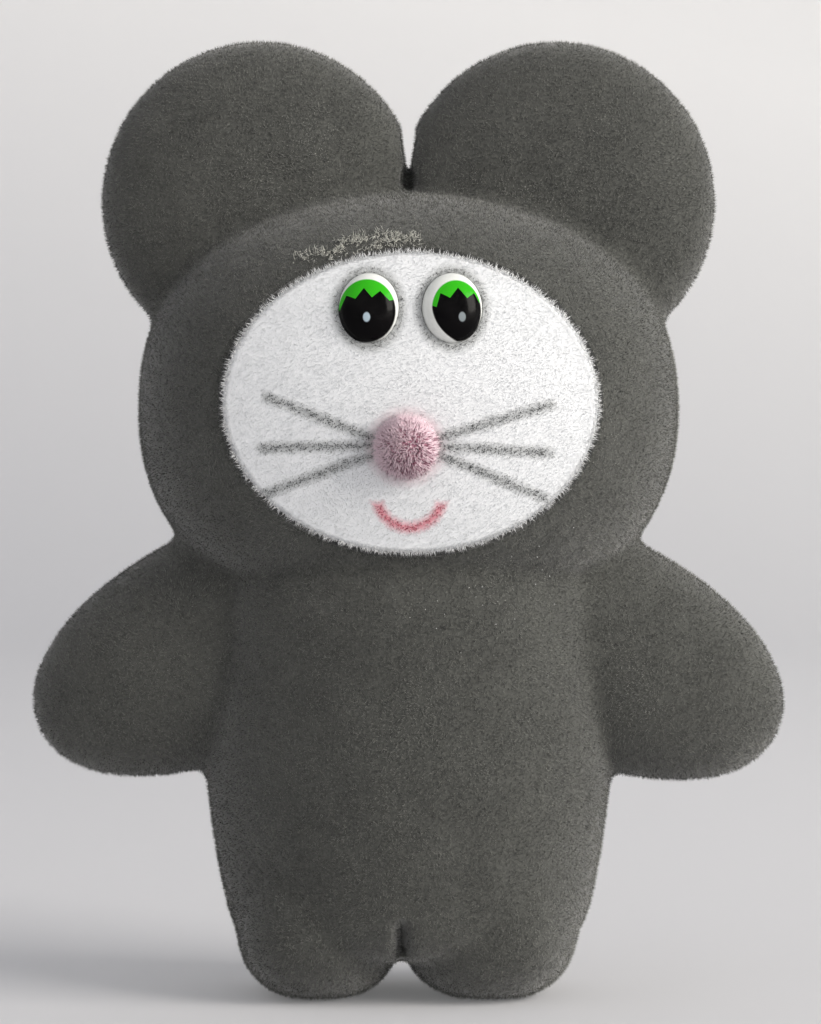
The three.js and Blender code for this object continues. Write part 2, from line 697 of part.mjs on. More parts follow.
// The click's spring: a leaf from a foot on the great wheel to the back of the click.
function clickSpringSolid() {
  const { anchorGap, anchorDegrees, thickness, width } = clickSpring;
  const line = [
    offRatchet(anchorGap, anchorDegrees),
    offRatchet(anchorGap + 0.6, (click.tipDegrees + anchorDegrees) / 2),
    offRatchet(anchorGap, click.tipDegrees - 6),
    offRatchet(anchorGap - 1, click.tipDegrees - 18),
    offRatchet(click.lift + click.width + 1, click.tipDegrees - 27),
  ];
  const curve = new THREE.SplineCurve(points(line));
  const middleY = (ratchet.y[0] + ratchet.y[1]) / 2;
  const leafY = [middleY - width / 2, middleY + width / 2];
  const leaf = strip(curve.getPoints(10).map((p) => [p.x, p.y]), thickness, leafY);
  const footEnds = [leafY[0] - pressClearance, greatWheel.y[0] - pressClearance];
  return leaf.add(bar(clickSpring.footRadius, ...footEnds, ...line[0], 10));
}

// The mainspring: a coiled strip on the winding arbor. Its outer end runs off to a pillar and hooks round it.
function mainspringSolid() {
  const [hookX, hookZ] = layout.pillars[0];
  const innerRadius = winding.barrelRadius + spring.innerGap;
  const perTurn = 14;
  const steps = Math.round(spring.turns * perTurn);
  const hookBearing = Math.atan2(hookZ - greatZ, hookX - greatX);
  const leave = hookBearing - springEnd.leavesBefore;
  const line = [];
  for (let i = 0; i <= steps; i++) {
    const angle = leave - ((steps - i) / perTurn) * 2 * Math.PI;
    const radius = innerRadius + (spring.coiledWidth * i) / steps;
    line.push([greatX + radius * Math.cos(angle), greatZ + radius * Math.sin(angle)]);
  }
  const hookRadius = pillar.radius + seatClearance + spring.thickness / 2;
  const hookSteps = 7;
  const hookStart = hookBearing - Math.PI / 3;
  for (let i = 0; i <= hookSteps; i++) {
    const angle = hookStart + (i / hookSteps) * springEnd.hookWrap;
    line.push([hookX + hookRadius * Math.cos(angle), hookZ + hookRadius * Math.sin(angle)]);
  }
  return strip(line, spring.thickness, spring.y);
}

// ---- Key ----

const bushStartY = backAtKey - wall - 0.8;
const flangeY = backAtKey + pressClearance;
const hubStartY = flangeY + bush.flangeThickness + seatClearance;

function bushSolid() {
  const bore = winding.tailRadius + 2 * runningClearance;
  const end = flangeY + bush.flangeThickness;
  const profile = [
    [bore, bushStartY],
    [bush.radius, bushStartY],
    [bush.radius, flangeY],
    [bush.flangeRadius, flangeY],
    [bush.flangeRadius, end],
    [bore, end],
    [bore, bushStartY],
  ];
  return turned(profile, greatX, greatZ, 20);
}

// A butterfly key: a hub with a square socket, and a flat wing with two round lobes.
function keySolid() {
  const wing = new THREE.Shape();
  const middleY = hubStartY + key.hubLength + key.wingReach - lobe.radius;
  const neck = key.hubRadius * 0.8;
  wing.moveTo(-neck, hubStartY + key.hubLength - 1);
  wing.lineTo(neck, hubStartY + key.hubLength - 1);
  wing.absarc(lobe.x, middleY, lobe.radius, -0.7 * Math.PI, 0.62 * Math.PI, false);
  wing.lineTo(0, middleY + lobe.radius * 0.45);
  wing.absarc(-lobe.x, middleY, lobe.radius, 0.38 * Math.PI, 1.7 * Math.PI, false);
  wing.holes.push(...[-1, 1].map((side) => hole(side * lobe.x, middleY, lobe.holeRadius)));
  const wings = solid(
    new THREE.ExtrudeGeometry(wing, { depth: key.wingThickness, bevelEnabled: false, curveSegments: 14 }),
  ).translate([0, 0, greatZ - key.wingThickness / 2]);
  const hub = bar(key.hubRadius, hubStartY, hubStartY + key.hubLength, 0, greatZ, 20);
  const half = winding.square / 2 + pressClearance;
  const socket = box([-half, 0, greatZ - half], [half, hubStartY + key.hubLength - 0.2, greatZ + half]);
  return hub.add(wings).subtract(socket);
}

// ---- Materials and nodes ----

const material = (color, roughness, metalness = 0) =>
  new THREE.MeshStandardMaterial({ color, roughness, metalness });
const greyFlock = material("#6c6b67", 1);
const whiteFlock = material("#f2f1ee", 1);
const pinkFlock = material("#b98d9a", 1);
const whitePlastic = material("#e9e9e6", 0.2);
const plateSteel = material("#b3b6b8", 0.4, 1);
const darkSteel = material("#76797d", 0.35, 1);
const brass = material("#b59a56", 0.35, 1);
const zinc = material("#9ea1a4", 0.5, 1);

const mouse = new THREE.Group();

function add(name, made, finish) {
  const mesh = new THREE.Mesh(geometryOf(made), finish);
  mesh.name = name;
  mouse.add(mesh);
}

add("front_shell", frontShell, greyFlock);
add("back_shell", backShell, greyFlock);
add("face_plate", facePlate(), whiteFlock);
add("nose", noseSolid(), pinkFlock);
for (const { name, side } of eyeSides) add(name, placeEye(eyeSolid(), side), whitePlastic);

add("motor_front_plate", motorPlate([-plateOuterY, -plateInnerY], winding.pivotRadius, true), plateSteel);
add("motor_back_plate", motorPlate([plateInnerY, plateOuterY], winding.tailRadius, false), plateSteel);
layout.pillars.forEach((place, i) => add(`pillar_${i + 1}`, pillarSolid(place), darkSteel));
layout.screws.forEach((place, i) => add(`motor_screw_${i + 1}`, screwSolid(place), zinc));

add("winding_arbor", windingArbor(), darkSteel);
add("ratchet_wheel", ratchetSolid(), darkSteel);
add("mainspring", mainspringSolid(), darkSteel);
const rivetHole = bar(click.holeRadius, -farY, farY, ...clickPivot, 10);
const greatBore = winding.radius + runningClearance;
add("great_wheel", wheelSolid(greatWheel, greatBore, [greatX, greatZ], greatTurn).subtract(rivetHole), brass);
add("click", clickSolid(), darkSteel);
add("click_rivet", clickRivet(), darkSteel);
add("click_spring", clickSpringSolid(), brass);
add("second_arbor", trainArbor(layout.second), darkSteel);
add("second_pinion", pinionSolid(secondPinion, layout.second, secondTurn), brass);
add("second_wheel", wheelSolid(secondWheel, trainBore, layout.second, secondTurn), brass);
add("third_arbor", trainArbor(layout.third), darkSteel);
add("third_pinion", pinionSolid(thirdPinion, layout.third, thirdTurn), brass);
add("third_wheel", wheelSolid(thirdWheel, trainBore, layout.third, thirdTurn), brass);
add("governor_arbor", trainArbor(layout.governor), darkSteel);
add("governor_pinion", pinionSolid(governorPinion, layout.governor, governorTurn), brass);
add("eccentric_weight", weightSolid(), zinc);

add("key_bush", bushSolid(), brass);
add("winding_key", keySolid(), plateSteel);

export default mouse;
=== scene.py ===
# %% [markdown]
# A flocked clockwork mouse.
#
# The real figure is a hollow moulding sprayed with glue and blown full of short nylon fibres, which stand
# on end and make it velvet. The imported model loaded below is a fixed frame: it says where every piece lies
# and which body it moves with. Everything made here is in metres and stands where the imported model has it.

# %% Load the frame
import json
import math
import bpy
import bmesh
import numpy as np
from mathutils import Matrix, Vector


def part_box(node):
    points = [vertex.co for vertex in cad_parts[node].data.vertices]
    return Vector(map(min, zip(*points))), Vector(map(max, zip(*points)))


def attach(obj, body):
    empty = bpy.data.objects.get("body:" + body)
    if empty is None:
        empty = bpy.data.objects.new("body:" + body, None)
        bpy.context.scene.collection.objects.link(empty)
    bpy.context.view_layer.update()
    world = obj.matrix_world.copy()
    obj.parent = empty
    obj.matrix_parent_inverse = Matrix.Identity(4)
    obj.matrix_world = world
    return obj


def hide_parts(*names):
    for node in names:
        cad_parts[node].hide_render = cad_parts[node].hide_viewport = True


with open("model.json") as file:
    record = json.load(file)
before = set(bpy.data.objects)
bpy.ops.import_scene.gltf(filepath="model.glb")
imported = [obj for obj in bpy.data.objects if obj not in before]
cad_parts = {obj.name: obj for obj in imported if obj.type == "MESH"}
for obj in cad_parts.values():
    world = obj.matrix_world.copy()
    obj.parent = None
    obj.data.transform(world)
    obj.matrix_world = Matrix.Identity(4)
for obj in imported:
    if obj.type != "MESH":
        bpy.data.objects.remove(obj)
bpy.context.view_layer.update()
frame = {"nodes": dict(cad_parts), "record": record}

MM = 0.001
rng = np.random.default_rng(7)

# %% [markdown]
# The camera looks straight at the face from 410 mm away, level with the middle of the figure, and takes in
# a little more than its height. A long lens keeps its proportions true.

# %% Camera
VIEW_DISTANCE = 410 * MM
VIEW_HEIGHT = 60.4 * MM
SHOWN_HEIGHT = 128.8 * MM
SENSOR = 36

scene = bpy.context.scene
camera = bpy.data.cameras.new("camera")
camera.sensor_fit = "VERTICAL"
camera.sensor_height = SENSOR
camera.lens = SENSOR * VIEW_DISTANCE / SHOWN_HEIGHT
eye_point = bpy.data.objects.new("camera", camera)
eye_point.location = (0, -VIEW_DISTANCE, VIEW_HEIGHT)
eye_point.rotation_euler = (math.pi / 2, 0, 0)
scene.collection.objects.link(eye_point)
scene.camera = eye_point
scene.view_settings.view_transform = "Standard"


# %% [markdown]
# Materials are node trees, and three small helpers serve them all. One turns a colour as the eye reads it,
# in sRGB hex, to linear light. One adds a node. One starts a material with plain numbers on its shader's
# sockets.

# %% Helpers for materials
def linear(hex_colour):
    """An sRGB hex colour as linear red, green, blue and alpha."""
    channels = [int(hex_colour[i : i + 2], 16) / 255 for i in (1, 3, 5)]
    return (*[c / 12.92 if c <= 0.04045 else ((c + 0.055) / 1.055) ** 2.4 for c in channels], 1)


def add(tree, kind, inputs=None, **settings):
    """Adds a node. An input is a value, a hex colour, or the output socket of another node. A mix node set to
    colours has them at 6 and 7, and its output at 2."""
    node = tree.nodes.new("ShaderNode" + kind)
    for name, value in settings.items():
        setattr(node, name, value)
    for name, value in (inputs or {}).items():
        if isinstance(value, bpy.types.NodeSocket):
            tree.links.new(value, node.inputs[name])
        else:
            node.inputs[name].default_value = linear(value) if isinstance(value, str) else value
    return node


def new_material(name, colour, **numbers):
    """A material with one shader, its colour, and the shader's own numbers."""
    material = bpy.data.materials.new(name)
    material.use_nodes = True
    shader = material.node_tree.nodes["Principled BSDF"]
    shader.inputs["Base Color"].default_value = linear(colour)
    for socket, value in numbers.items():
        shader.inputs[socket.replace("_", " ")].default_value = value
    return material, material.node_tree, shader


# %% [markdown]
# Velvet flock is millions of nylon fibres under a millimetre long. Three things make the eye read it:
# patches where the fibres lean another way, a fine grain where single fibres show, and a soft bright rim,
# because at the edge the light passes along the tips. In the ground between the fibres, the patches and the
# grain are noise of a real size and the rim is the shader's sheen. The fibres modelled further down give
# the fuzzy edge.

# %% Flock ground
GRAIN = 0.3 * MM  # a few fibre widths
PATCH = 6.0 * MM  # how far the fibres lean one way


def flock_ground(name, dark, light, sheen, relief=0.4):
    """Returns the material, its tree and shader, and the sockets of the place and the colour."""
    material, tree, shader = new_material(
        name, light, Roughness=0.95, Sheen_Weight=sheen, Sheen_Roughness=0.5, Specular_IOR_Level=0.1
    )
    place = add(tree, "TexCoord").outputs["Object"]
    noises = []
    for size in (GRAIN, PATCH):
        inputs = {"Vector": place, "Scale": 1 / size, "Detail": 3.0, "Roughness": 0.65}
        noises.append(add(tree, "TexNoise", inputs).outputs["Fac"])
    grain, patch = noises
    both = add(tree, "Mix", {"Factor": 0.2, "A": grain, "B": patch}).outputs["Result"]
    spread = add(tree, "MapRange", {"Value": both, "From Min": 0.36, "From Max": 0.64})
    colour = add(tree, "Mix", {0: spread.outputs["Result"], 6: dark, 7: light}, data_type="RGBA").outputs[2]
    tree.links.new(colour, shader.inputs["Base Color"])
    bump = add(tree, "Bump", {"Strength": relief, "Distance": 0.2 * MM, "Height": grain})
    tree.links.new(bump.outputs["Normal"], shader.inputs["Normal"])
    return material, tree, shader, place, colour


grey_ground = flock_ground("grey nylon velvet flock", "#363735", "#575854", sheen=0.5)[0]


# %% [markdown]
# Shapes are made with Blender's own tools. These helpers keep the selection tidy, apply modifiers, and give
# a finished mesh its name, finish and body.

# %% Helpers for shapes
def clear_selection():
    if bpy.context.object and bpy.context.object.mode != "OBJECT":
        bpy.ops.object.mode_set(mode="OBJECT")
    bpy.ops.object.select_all(action="DESELECT")


def activate(obj):
    clear_selection()
    obj.select_set(True)
    bpy.context.view_layer.objects.active = obj


def apply_place(obj):
    activate(obj)
    bpy.ops.object.transform_apply(location=True, rotation=True, scale=True)
    return obj


def modify(obj, kind, **settings):
    """Adds a modifier with its settings and applies it."""
    activate(obj)
    modifier = obj.modifiers.new(kind.lower(), kind)
    for name, value in settings.items():
        setattr(modifier, name, value)
    bpy.ops.object.modifier_apply(modifier=modifier.name)
    return obj


def combine(obj, operation, other):
    """Joins another closed solid to this one, or cuts it out, and removes the other."""
    modify(obj, "BOOLEAN", operation=operation, solver="EXACT", object=other)
    bpy.data.objects.remove(other)
    return obj


def join(objects):
    activate(objects[0])
    for obj in objects[1:]:
        obj.select_set(True)
    bpy.ops.object.join()
    return bpy.context.object


def copied(obj):
    other = obj.copy()
    other.data = obj.data.copy()
    scene.collection.objects.link(other)
    return other


def cut_away(obj, y, in_front, fill=False):
    """Cuts a mesh across at y and takes away what lies in front of the cut, or what lies behind it."""
    activate(obj)
    bpy.ops.object.mode_set(mode="EDIT")
    bpy.ops.mesh.select_all(action="SELECT")
    bpy.ops.mesh.bisect(
        plane_co=(0, y, 0), plane_no=(0, 1, 0), clear_inner=in_front, clear_outer=not in_front, use_fill=fill
    )
    bpy.ops.object.mode_set(mode="OBJECT")
    return obj


def points_of(obj):
    places = np.empty(len(obj.data.vertices) * 3)
    obj.data.vertices.foreach_get("co", places)
    return places.reshape(-1, 3)


def settled(obj):
    """Puts a mesh's faces in the order of their points. An extrusion and the sphere tool give them in another
    order each run, and fibres are strewn by that order."""
    rings = []
    for face in obj.data.polygons:
        corners = list(face.vertices)
        first = corners.index(min(corners))
        rings.append(corners[first:] + corners[:first])
    mesh = bpy.data.meshes.new("settled")
    mesh.from_pydata(points_of(obj), [], sorted(rings))
    obj.data = mesh
    return obj


def put_points(obj, places):
    obj.data.vertices.foreach_set("co", places.astype(np.float32).ravel())
    obj.data.update()


def finish_piece(obj, name, material, smooth_degrees=40, body="housing"):
    obj.name = name
    obj.data.name = name
    obj.data.materials.clear()
    obj.data.materials.append(material)
    activate(obj)
    if smooth_degrees:
        bpy.ops.object.shade_smooth_by_angle(angle=math.radians(smooth_degrees))
    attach(obj, body)
    print(name, len(obj.data.polygons), "faces")
    return obj


def stacked(profile, vertices, closed_ring=False):
    """A form built up from rings by extrusion. The profile gives each ring's radius and height. A closed ring
    is a tube, whose profile comes back to its first point."""
    (radius, height), *others = profile
    fill = "NOTHING" if closed_ring else "NGON"
    clear_selection()
    bpy.ops.mesh.primitive_circle_add(
        vertices=vertices, radius=radius, fill_type=fill, location=(0, 0, height)
    )
    obj = bpy.context.object
    apply_place(obj)
    bpy.ops.object.mode_set(mode="EDIT")
    bpy.ops.mesh.select_all(action="SELECT")
    for next_radius, next_height in others:
        move = {"value": (0, 0, next_height - height)}
        bpy.ops.mesh.extrude_region_move(TRANSFORM_OT_translate=move)
        share = next_radius / radius
        bpy.ops.transform.resize(value=(share, share, 1))
        radius, height = next_radius, next_height
    bpy.ops.mesh.select_all(action="SELECT")
    bpy.ops.mesh.remove_doubles(threshold=0.001 * MM)
    bpy.ops.mesh.normals_make_consistent(inside=False)
    bpy.ops.object.mode_set(mode="OBJECT")
    return settled(obj)


# %% [markdown]
# The figure is one soft form. On the real toy the model for the mould was smoothed with a thumb: arms, legs
# and ears run into the body in small round hollows. So its lumps are made one by one, joined, skinned again
# as one surface by a voxel remesh, and smoothed. Between the ears and between the legs the creases stay
# sharp, so there the smoothing is held back by a vertex group. A small lump, the ear web, closes the slit
# between the ears lower down, and a narrow crease is pressed in between the legs.
#
# A lump is a sphere whose points are moved out to lie between an egg, at power 2, and a block, at higher
# powers.

# %% Lumps
VOXEL = 0.62 * MM
SINK = 0.3 * MM  # the ground lies this far inside the outline that the fibre tips make
HEAD = {"centre": (0, 0, 73.6), "half": (34.2, 25.0, 26.7), "outline": 2.3, "edge": 2.3, "axis": 1}
EARS = [{"centre": (18.9 * s, 0, 99.6), "half": (20.2, 7.6, 20.1), "outline": 2, "edge": 2.4, "axis": 1}
        for s in (-1, 1)]
ARMS = [{"centre": (22 * s, 0, z), "half": (27.7, 10.7, 14.2), "outline": 2.08, "edge": 2, "axis": 1,
         "droop": 24.7 * s} for s, z in ((-1, 45.0), (1, 44.5))]
LEGS = [{"centre": (x, 0, 10.5), "half": (w, 15.8, 10.7), "outline": 2.4, "edge": 2.55, "axis": 2}
        for x, w in ((-11.3, 10.5), (10.2, 11.4))]
EAR_SLIT = (1.2, 1.0, 0.5, 0.9, 1.15)  # half the gap between the ears, in millimetres, at these heights
EAR_SLIT_HEIGHTS = (100.0, 103.2, 104.2, 106, 108.5)
EAR_WEB = {"centre": (0, 1.0, 97.6), "half": (4, 2.2, 6.0), "outline": 2.6, "edge": 2.6, "axis": 1}
LEG_CREASE = {"x": -0.75, "width": 0.75, "depth": 3.6, "bottom": 6.2, "top": 11.6}
CROTCH = {"width": 1.0, "lift": 0.5, "top": 8.5}  # the body's underside is drawn up between the legs
EARS_PART, LEGS_PART, PART_FADE, PART_REACH = 99, 6, 3, 4  # where the creases stay sharp, in millimetres
BODY_WIDEST, WIDEST_HEIGHT, BODY_TAPER = 26.1, 38, 0.0043
BODY_BOTTOM, BODY_TOP, BOTTOM_ROUND, NECK_ROUND = 5.4, 62.0, 5.5, 14.0
BODY_DEPTH = 20.4 / 26  # as a share of its width
BODY_STEPS, BODY_POINTS = 44, 144


def lump(shape):
    clear_selection()
    bpy.ops.mesh.primitive_uv_sphere_add(segments=144, ring_count=96, radius=1)
    obj = bpy.context.object
    places = np.abs(points_of(obj))
    across = [i for i in range(3) if i != shape["axis"]]
    outline, edge = shape["outline"], shape["edge"]
    flat = (places[:, across] ** outline).sum(axis=1) ** (edge / outline)
    stretch = (flat + places[:, shape["axis"]] ** edge) ** (-1 / edge)
    put_points(obj, points_of(obj) * stretch[:, None] * np.array(shape["half"]) * MM)
    obj.rotation_euler = (0, math.radians(shape.get("droop", 0)), 0)
    obj.location = Vector(shape["centre"]) * MM
    return apply_place(obj)


def body_half_width(z):
    """Half the body's width at a height, both in millimetres."""
    return BODY_WIDEST - BODY_TAPER * (z - WIDEST_HEIGHT) ** 2


def body_rings():
    """The radius and height of each ring, drawn in at both ends to round them."""
    for i in range(BODY_STEPS + 1):
        z = BODY_BOTTOM + (BODY_TOP - BODY_BOTTOM) * i / BODY_STEPS
        low = max(0.0, 1 - (z - BODY_BOTTOM) / BOTTOM_ROUND)
        high = max(0.0, 1 - (BODY_TOP - z) / NECK_ROUND)
        inset = BOTTOM_ROUND * (1 - math.sqrt(1 - low**2)) + NECK_ROUND * (1 - math.sqrt(1 - high**2))
        yield (body_half_width(z) - inset) * MM, z * MM


trunk = stacked(list(body_rings()), BODY_POINTS)
trunk.scale = (1, BODY_DEPTH, 1)
apply_place(trunk)
ears = [lump(shape) for shape in EARS]
for ear, side in zip(ears, (-1, 1)):
    places = points_of(ear)
    slit = np.interp(places[:, 2] / MM, EAR_SLIT_HEIGHTS, EAR_SLIT) * MM
    places[:, 0] = side * np.maximum(places[:, 0] * side, slit)
    put_points(ear, places)
figure = join([lump(HEAD), trunk, *ears, *[lump(shape) for shape in [EAR_WEB] + ARMS + LEGS]])
modify(figure, "REMESH", mode="VOXEL", voxel_size=VOXEL, adaptivity=0)

places = points_of(figure)
held = figure.vertex_groups.new(name="thumbed")
x, y, z = (places / MM).T
ear_crease = np.exp(-((x / PART_REACH) ** 2)) * np.clip((z - EARS_PART) / PART_FADE, 0, 1)
leg_crease = np.exp(-(((x - LEG_CREASE["x"]) / PART_REACH) ** 2))
leg_crease *= np.clip((LEGS_PART - z) / PART_FADE, 0, 1)
share = np.round(1 - 0.93 * np.maximum(ear_crease, leg_crease), 2)
for value in np.unique(share):
    held.add(np.flatnonzero(share == value).tolist(), float(value), "REPLACE")
modify(figure, "SMOOTH", factor=0.5, iterations=24, vertex_group="thumbed")
figure.vertex_groups.clear()

places = points_of(figure)
x, y, z = (places / MM).T
off = x - LEG_CREASE["x"]
between = np.clip((LEG_CREASE["top"] - z) / 2.0, 0, 1) * np.clip((z - LEG_CREASE["bottom"]) / 1.0, 0, 1)
crease = LEG_CREASE["depth"] * np.exp(-((off / LEG_CREASE["width"]) ** 2)) * between
places[:, 1] -= np.sign(y) * np.minimum(crease, np.abs(y)) * MM
lift = CROTCH["lift"] * np.exp(-np.abs(off / CROTCH["width"])) * np.clip((CROTCH["top"] - z) / 3, 0, 1)
places[:, 2] += lift * (z > 2) * MM
put_points(figure, places)

# %% [markdown]
# Smoothing shrinks a form a little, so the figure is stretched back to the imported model's height and width,
# and its soles are pressed flat. The recess for the face plate is pressed in too: every point in front of
# its floor, inside an oval, is pushed back to the floor. Points beside the oval's edge are first moved onto
# it, to make a clean curve. The hole for the key's bush is marked in the same way.

# %% Fit, soles, face recess
shells = [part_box(name) for name in ("front_shell", "back_shell")]
shell_high = Vector(max(box[1][i] for box in shells) for i in range(3))
plate_low, plate_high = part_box("face_plate")
PLATE_CENTRE = (plate_low + plate_high) / 2
PLATE_HALF = ((plate_high.x - plate_low.x) / 2, (plate_high.z - plate_low.z) / 2)
RECESS_GAP = 0.35 * MM
RECESS_FLOOR = -18.8 * MM
SOLE_PRESS = 0.3 * MM
ASIDE = 0.25 * MM  # the moulding is a little lopsided about its face
bush_low, bush_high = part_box("key_bush")
BUSH_CENTRE = (bush_low + bush_high) / 2
BUSH_RADIUS = 3 * MM
BUSH_HOLE = 3.15 * MM
NEAR_SEAM = 12 * MM  # the face lies further forward than this, and the key further back
SNAP = 0.6 * VOXEL  # points this near an edge are moved onto it

places = points_of(figure)
low, high = places.min(axis=0), places.max(axis=0)
places[:, 0] *= (shell_high.x - SINK) / max(high[0], -low[0])
places[:, 2] = (places[:, 2] - low[2]) * (shell_high.z - SINK + SOLE_PRESS) / (high[2] - low[2])
places[:, 2] = np.maximum(places[:, 2] - SOLE_PRESS, 0)
places[:, 0] -= ASIDE


def oval_reach(places, gap):
    """How far out each place is in the face's oval, where 1 is its edge."""
    x = (places[:, 0] - PLATE_CENTRE.x) / (PLATE_HALF[0] + gap)
    z = (places[:, 2] - PLATE_CENTRE.z) / (PLATE_HALF[1] + gap)
    return np.hypot(x, z)


def bush_reach(places):
    return np.hypot(places[:, 0] - BUSH_CENTRE.x, places[:, 2] - BUSH_CENTRE.z)


def snap(places, chosen, reach, middle):
    """Moves the chosen places straight towards or away from the middle, to where their reach is 1."""
    for axis in (0, 2):
        places[chosen, axis] = middle[axis] + (places[chosen, axis] - middle[axis]) / reach[chosen]


in_front = places[:, 1] < -NEAR_SEAM
reach = oval_reach(places, RECESS_GAP)
beside_edge = in_front & (np.abs(reach - 1) < SNAP / PLATE_HALF[1])
snap(places, beside_edge, reach, PLATE_CENTRE)
inside = in_front & ~beside_edge & (reach < 1)
places[inside, 1] = np.maximum(places[inside, 1], RECESS_FLOOR)
behind = places[:, 1] > NEAR_SEAM
reach = bush_reach(places) / BUSH_HOLE
snap(places, behind & (np.abs(reach - 1) < SNAP / BUSH_HOLE), reach, BUSH_CENTRE)
put_points(figure, places)

# %% [markdown]
# The figure is a hollow moulding in two halves. For each half a copy of the surface is cut at the seam and
# a wall is grown inwards. The inside's faces are thinned out, as it needs less detail. The outer skins are
# kept beside the halves to strew the fibres on.

# %% Shells
WALL = 1.5 * MM
SEAM = 0.01 * MM
INSIDE_DETAIL = 0.6  # the share of the inside's faces that are kept

front_skin = cut_away(copied(figure), -SEAM, in_front=False)
back_skin = cut_away(copied(figure), SEAM, in_front=True)
bpy.data.objects.remove(figure)

mesh = bmesh.new()
mesh.from_mesh(back_skin.data)
middles = np.array([face.calc_center_median() for face in mesh.faces])
in_hole = (bush_reach(middles) < BUSH_HOLE) & (middles[:, 1] > NEAR_SEAM)
mesh.faces.ensure_lookup_table()
bmesh.ops.delete(mesh, geom=[mesh.faces[i] for i in np.flatnonzero(in_hole)], context="FACES")
mesh.to_mesh(back_skin.data)
mesh.free()

for skin, name in ((front_skin, "front_shell"), (back_skin, "back_shell")):
    half = copied(skin)
    half.vertex_groups.new(name="inside")
    modify(half, "SOLIDIFY", thickness=WALL, offset=-1, use_even_offset=False, shell_vertex_group="inside")
    modify(half, "DECIMATE", ratio=INSIDE_DETAIL, vertex_group="inside")
    half.vertex_groups.clear()
    finish_piece(half, name + "_flocked", grey_ground)
    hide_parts(name)


# %% [markdown]
# Fibres are real geometry, because no bump gives a fuzzy edge. Each is a sliver with four faces: a
# three-sided root, sunk in the ground, and a tip. They are strewn by area, so that they are equally dense
# everywhere, and each leans a little its own way and a little with its neighbours. A sliver is too thin to
# carry a pattern, so each batch is one plain dyed colour. The batches are chosen partly by a smooth noise,
# which gives the patches.

# %% Helpers for fibres
ROOT_DEPTH = 0.05 * MM
WAVES, WAVE_STEP, WAVE_SUM = 14, 2.2, 3.2


def patches(places, size, seed):
    """Smooth noise between about -1 and 1, with patches of a given size, as a sum of waves."""
    waves = np.random.default_rng(seed)
    steps = waves.normal(size=(WAVES, 3)) * WAVE_STEP / size
    return np.sin(places @ steps.T + waves.random(WAVES) * 2 * math.pi).sum(axis=1) / WAVE_SUM


def scatter(obj, count, keep):
    """Places and normals strewn evenly over a mesh. keep(places, normals) weighs each triangle."""
    mesh = obj.data
    mesh.calc_loop_triangles()
    corners = np.empty(len(mesh.loop_triangles) * 3, np.int32)
    mesh.loop_triangles.foreach_get("vertices", corners)
    places = points_of(obj)
    a, b, c = (places[corners[i::3]] for i in range(3))
    cross = np.cross(b - a, c - a)
    size = np.linalg.norm(cross, axis=1)
    normals = cross / np.maximum(size, 1e-18)[:, None]
    weight = size * keep((a + b + c) / 3, normals)
    chosen = rng.choice(len(size), count, p=weight / weight.sum())
    u, v = rng.random(count), rng.random(count)
    outside = u + v > 1
    u[outside], v[outside] = 1 - u[outside], 1 - v[outside]
    spots = a[chosen] + u[:, None] * (b - a)[chosen] + v[:, None] * (c - a)[chosen]
    return spots, normals[chosen]


def leaning(normals, jitter, places=None, lean=0.0, size=PATCH):
    """Directions near the normals, each a little its own way and a little with its neighbours."""
    directions = normals + rng.normal(size=normals.shape) * jitter
    if lean:
        directions += np.stack([patches(places, size, seed) for seed in (11, 12, 13)], axis=1) * lean
    return directions / np.linalg.norm(directions, axis=1, keepdims=True)


def slivers(name, spots, directions, lengths, width, colour, slot, sunk=ROOT_DEPTH, lowest=None, **numbers):
    """One piece of fibres on the figure, each with its root at a spot and its tip along a direction."""
    count = len(spots)
    side = np.cross(directions, rng.normal(size=(count, 3)))
    side /= np.linalg.norm(side, axis=1, keepdims=True)
    other = np.cross(directions, side)
    roots = spots - directions * sunk
    corners = []
    for i in range(3):
        angle = 2 * math.pi * i / 3
        corners.append(roots + (side * math.cos(angle) + other * math.sin(angle)) * width / 2)
    corners.append(spots + directions * np.reshape(lengths, (-1, 1)))
    vertices = np.stack(corners, axis=1).reshape(-1, 3)
    if lowest is not None:
        vertices[:, 2] = np.maximum(vertices[:, 2], lowest)
    sliver = np.array([[0, 2, 1], [0, 1, 3], [1, 2, 3], [2, 0, 3]])
    faces = (np.arange(count)[:, None, None] * 4 + sliver[None]).reshape(-1, 3)
    mesh = bpy.data.meshes.new(name)
    mesh.vertices.add(len(vertices))
    mesh.vertices.foreach_set("co", vertices.astype(np.float32).ravel())
    mesh.loops.add(faces.size)
    mesh.loops.foreach_set("vertex_index", faces.astype(np.int32).ravel())
    mesh.polygons.add(len(faces))
    mesh.polygons.foreach_set("loop_start", np.arange(0, faces.size, 3, dtype=np.int32))
    mesh.update(calc_edges=True)
    obj = bpy.data.objects.new(name, mesh)
    scene.collection.objects.link(obj)
    settings = {"Roughness": 0.85, "Sheen_Weight": 0.35, "Specular_IOR_Level": 0.15, **numbers}
    material = new_material(f"{name} dyed nylon fibre", colour, **settings)[0]
    return finish_piece(obj, name, material, smooth_degrees=None)


# %% [markdown]
# Grey fibres stand on both halves, but not on the floor of the face recess, under the bush's flange or
# under the soles, where they would be crushed flat. They are left off a strip in the crease between the
# legs too, so that the darker ground shows there as painted shade.

# %% Grey fibres
GREY_BATCHES = (("dark", "#40413f"), ("middle", "#5e5f5b"), ("light", "#83847e"))
BATCH = 49000
GREY_WIDTH = 0.075 * MM
SHORTEST_GREY, LONGEST_GREY = 0.32, 0.62  # in millimetres
FLANGE_RADIUS = 4.4 * MM
BARE_SHADE_HALF = 0.45  # half the bare strip in the crease, where the darker ground is painted shade, in millimetres
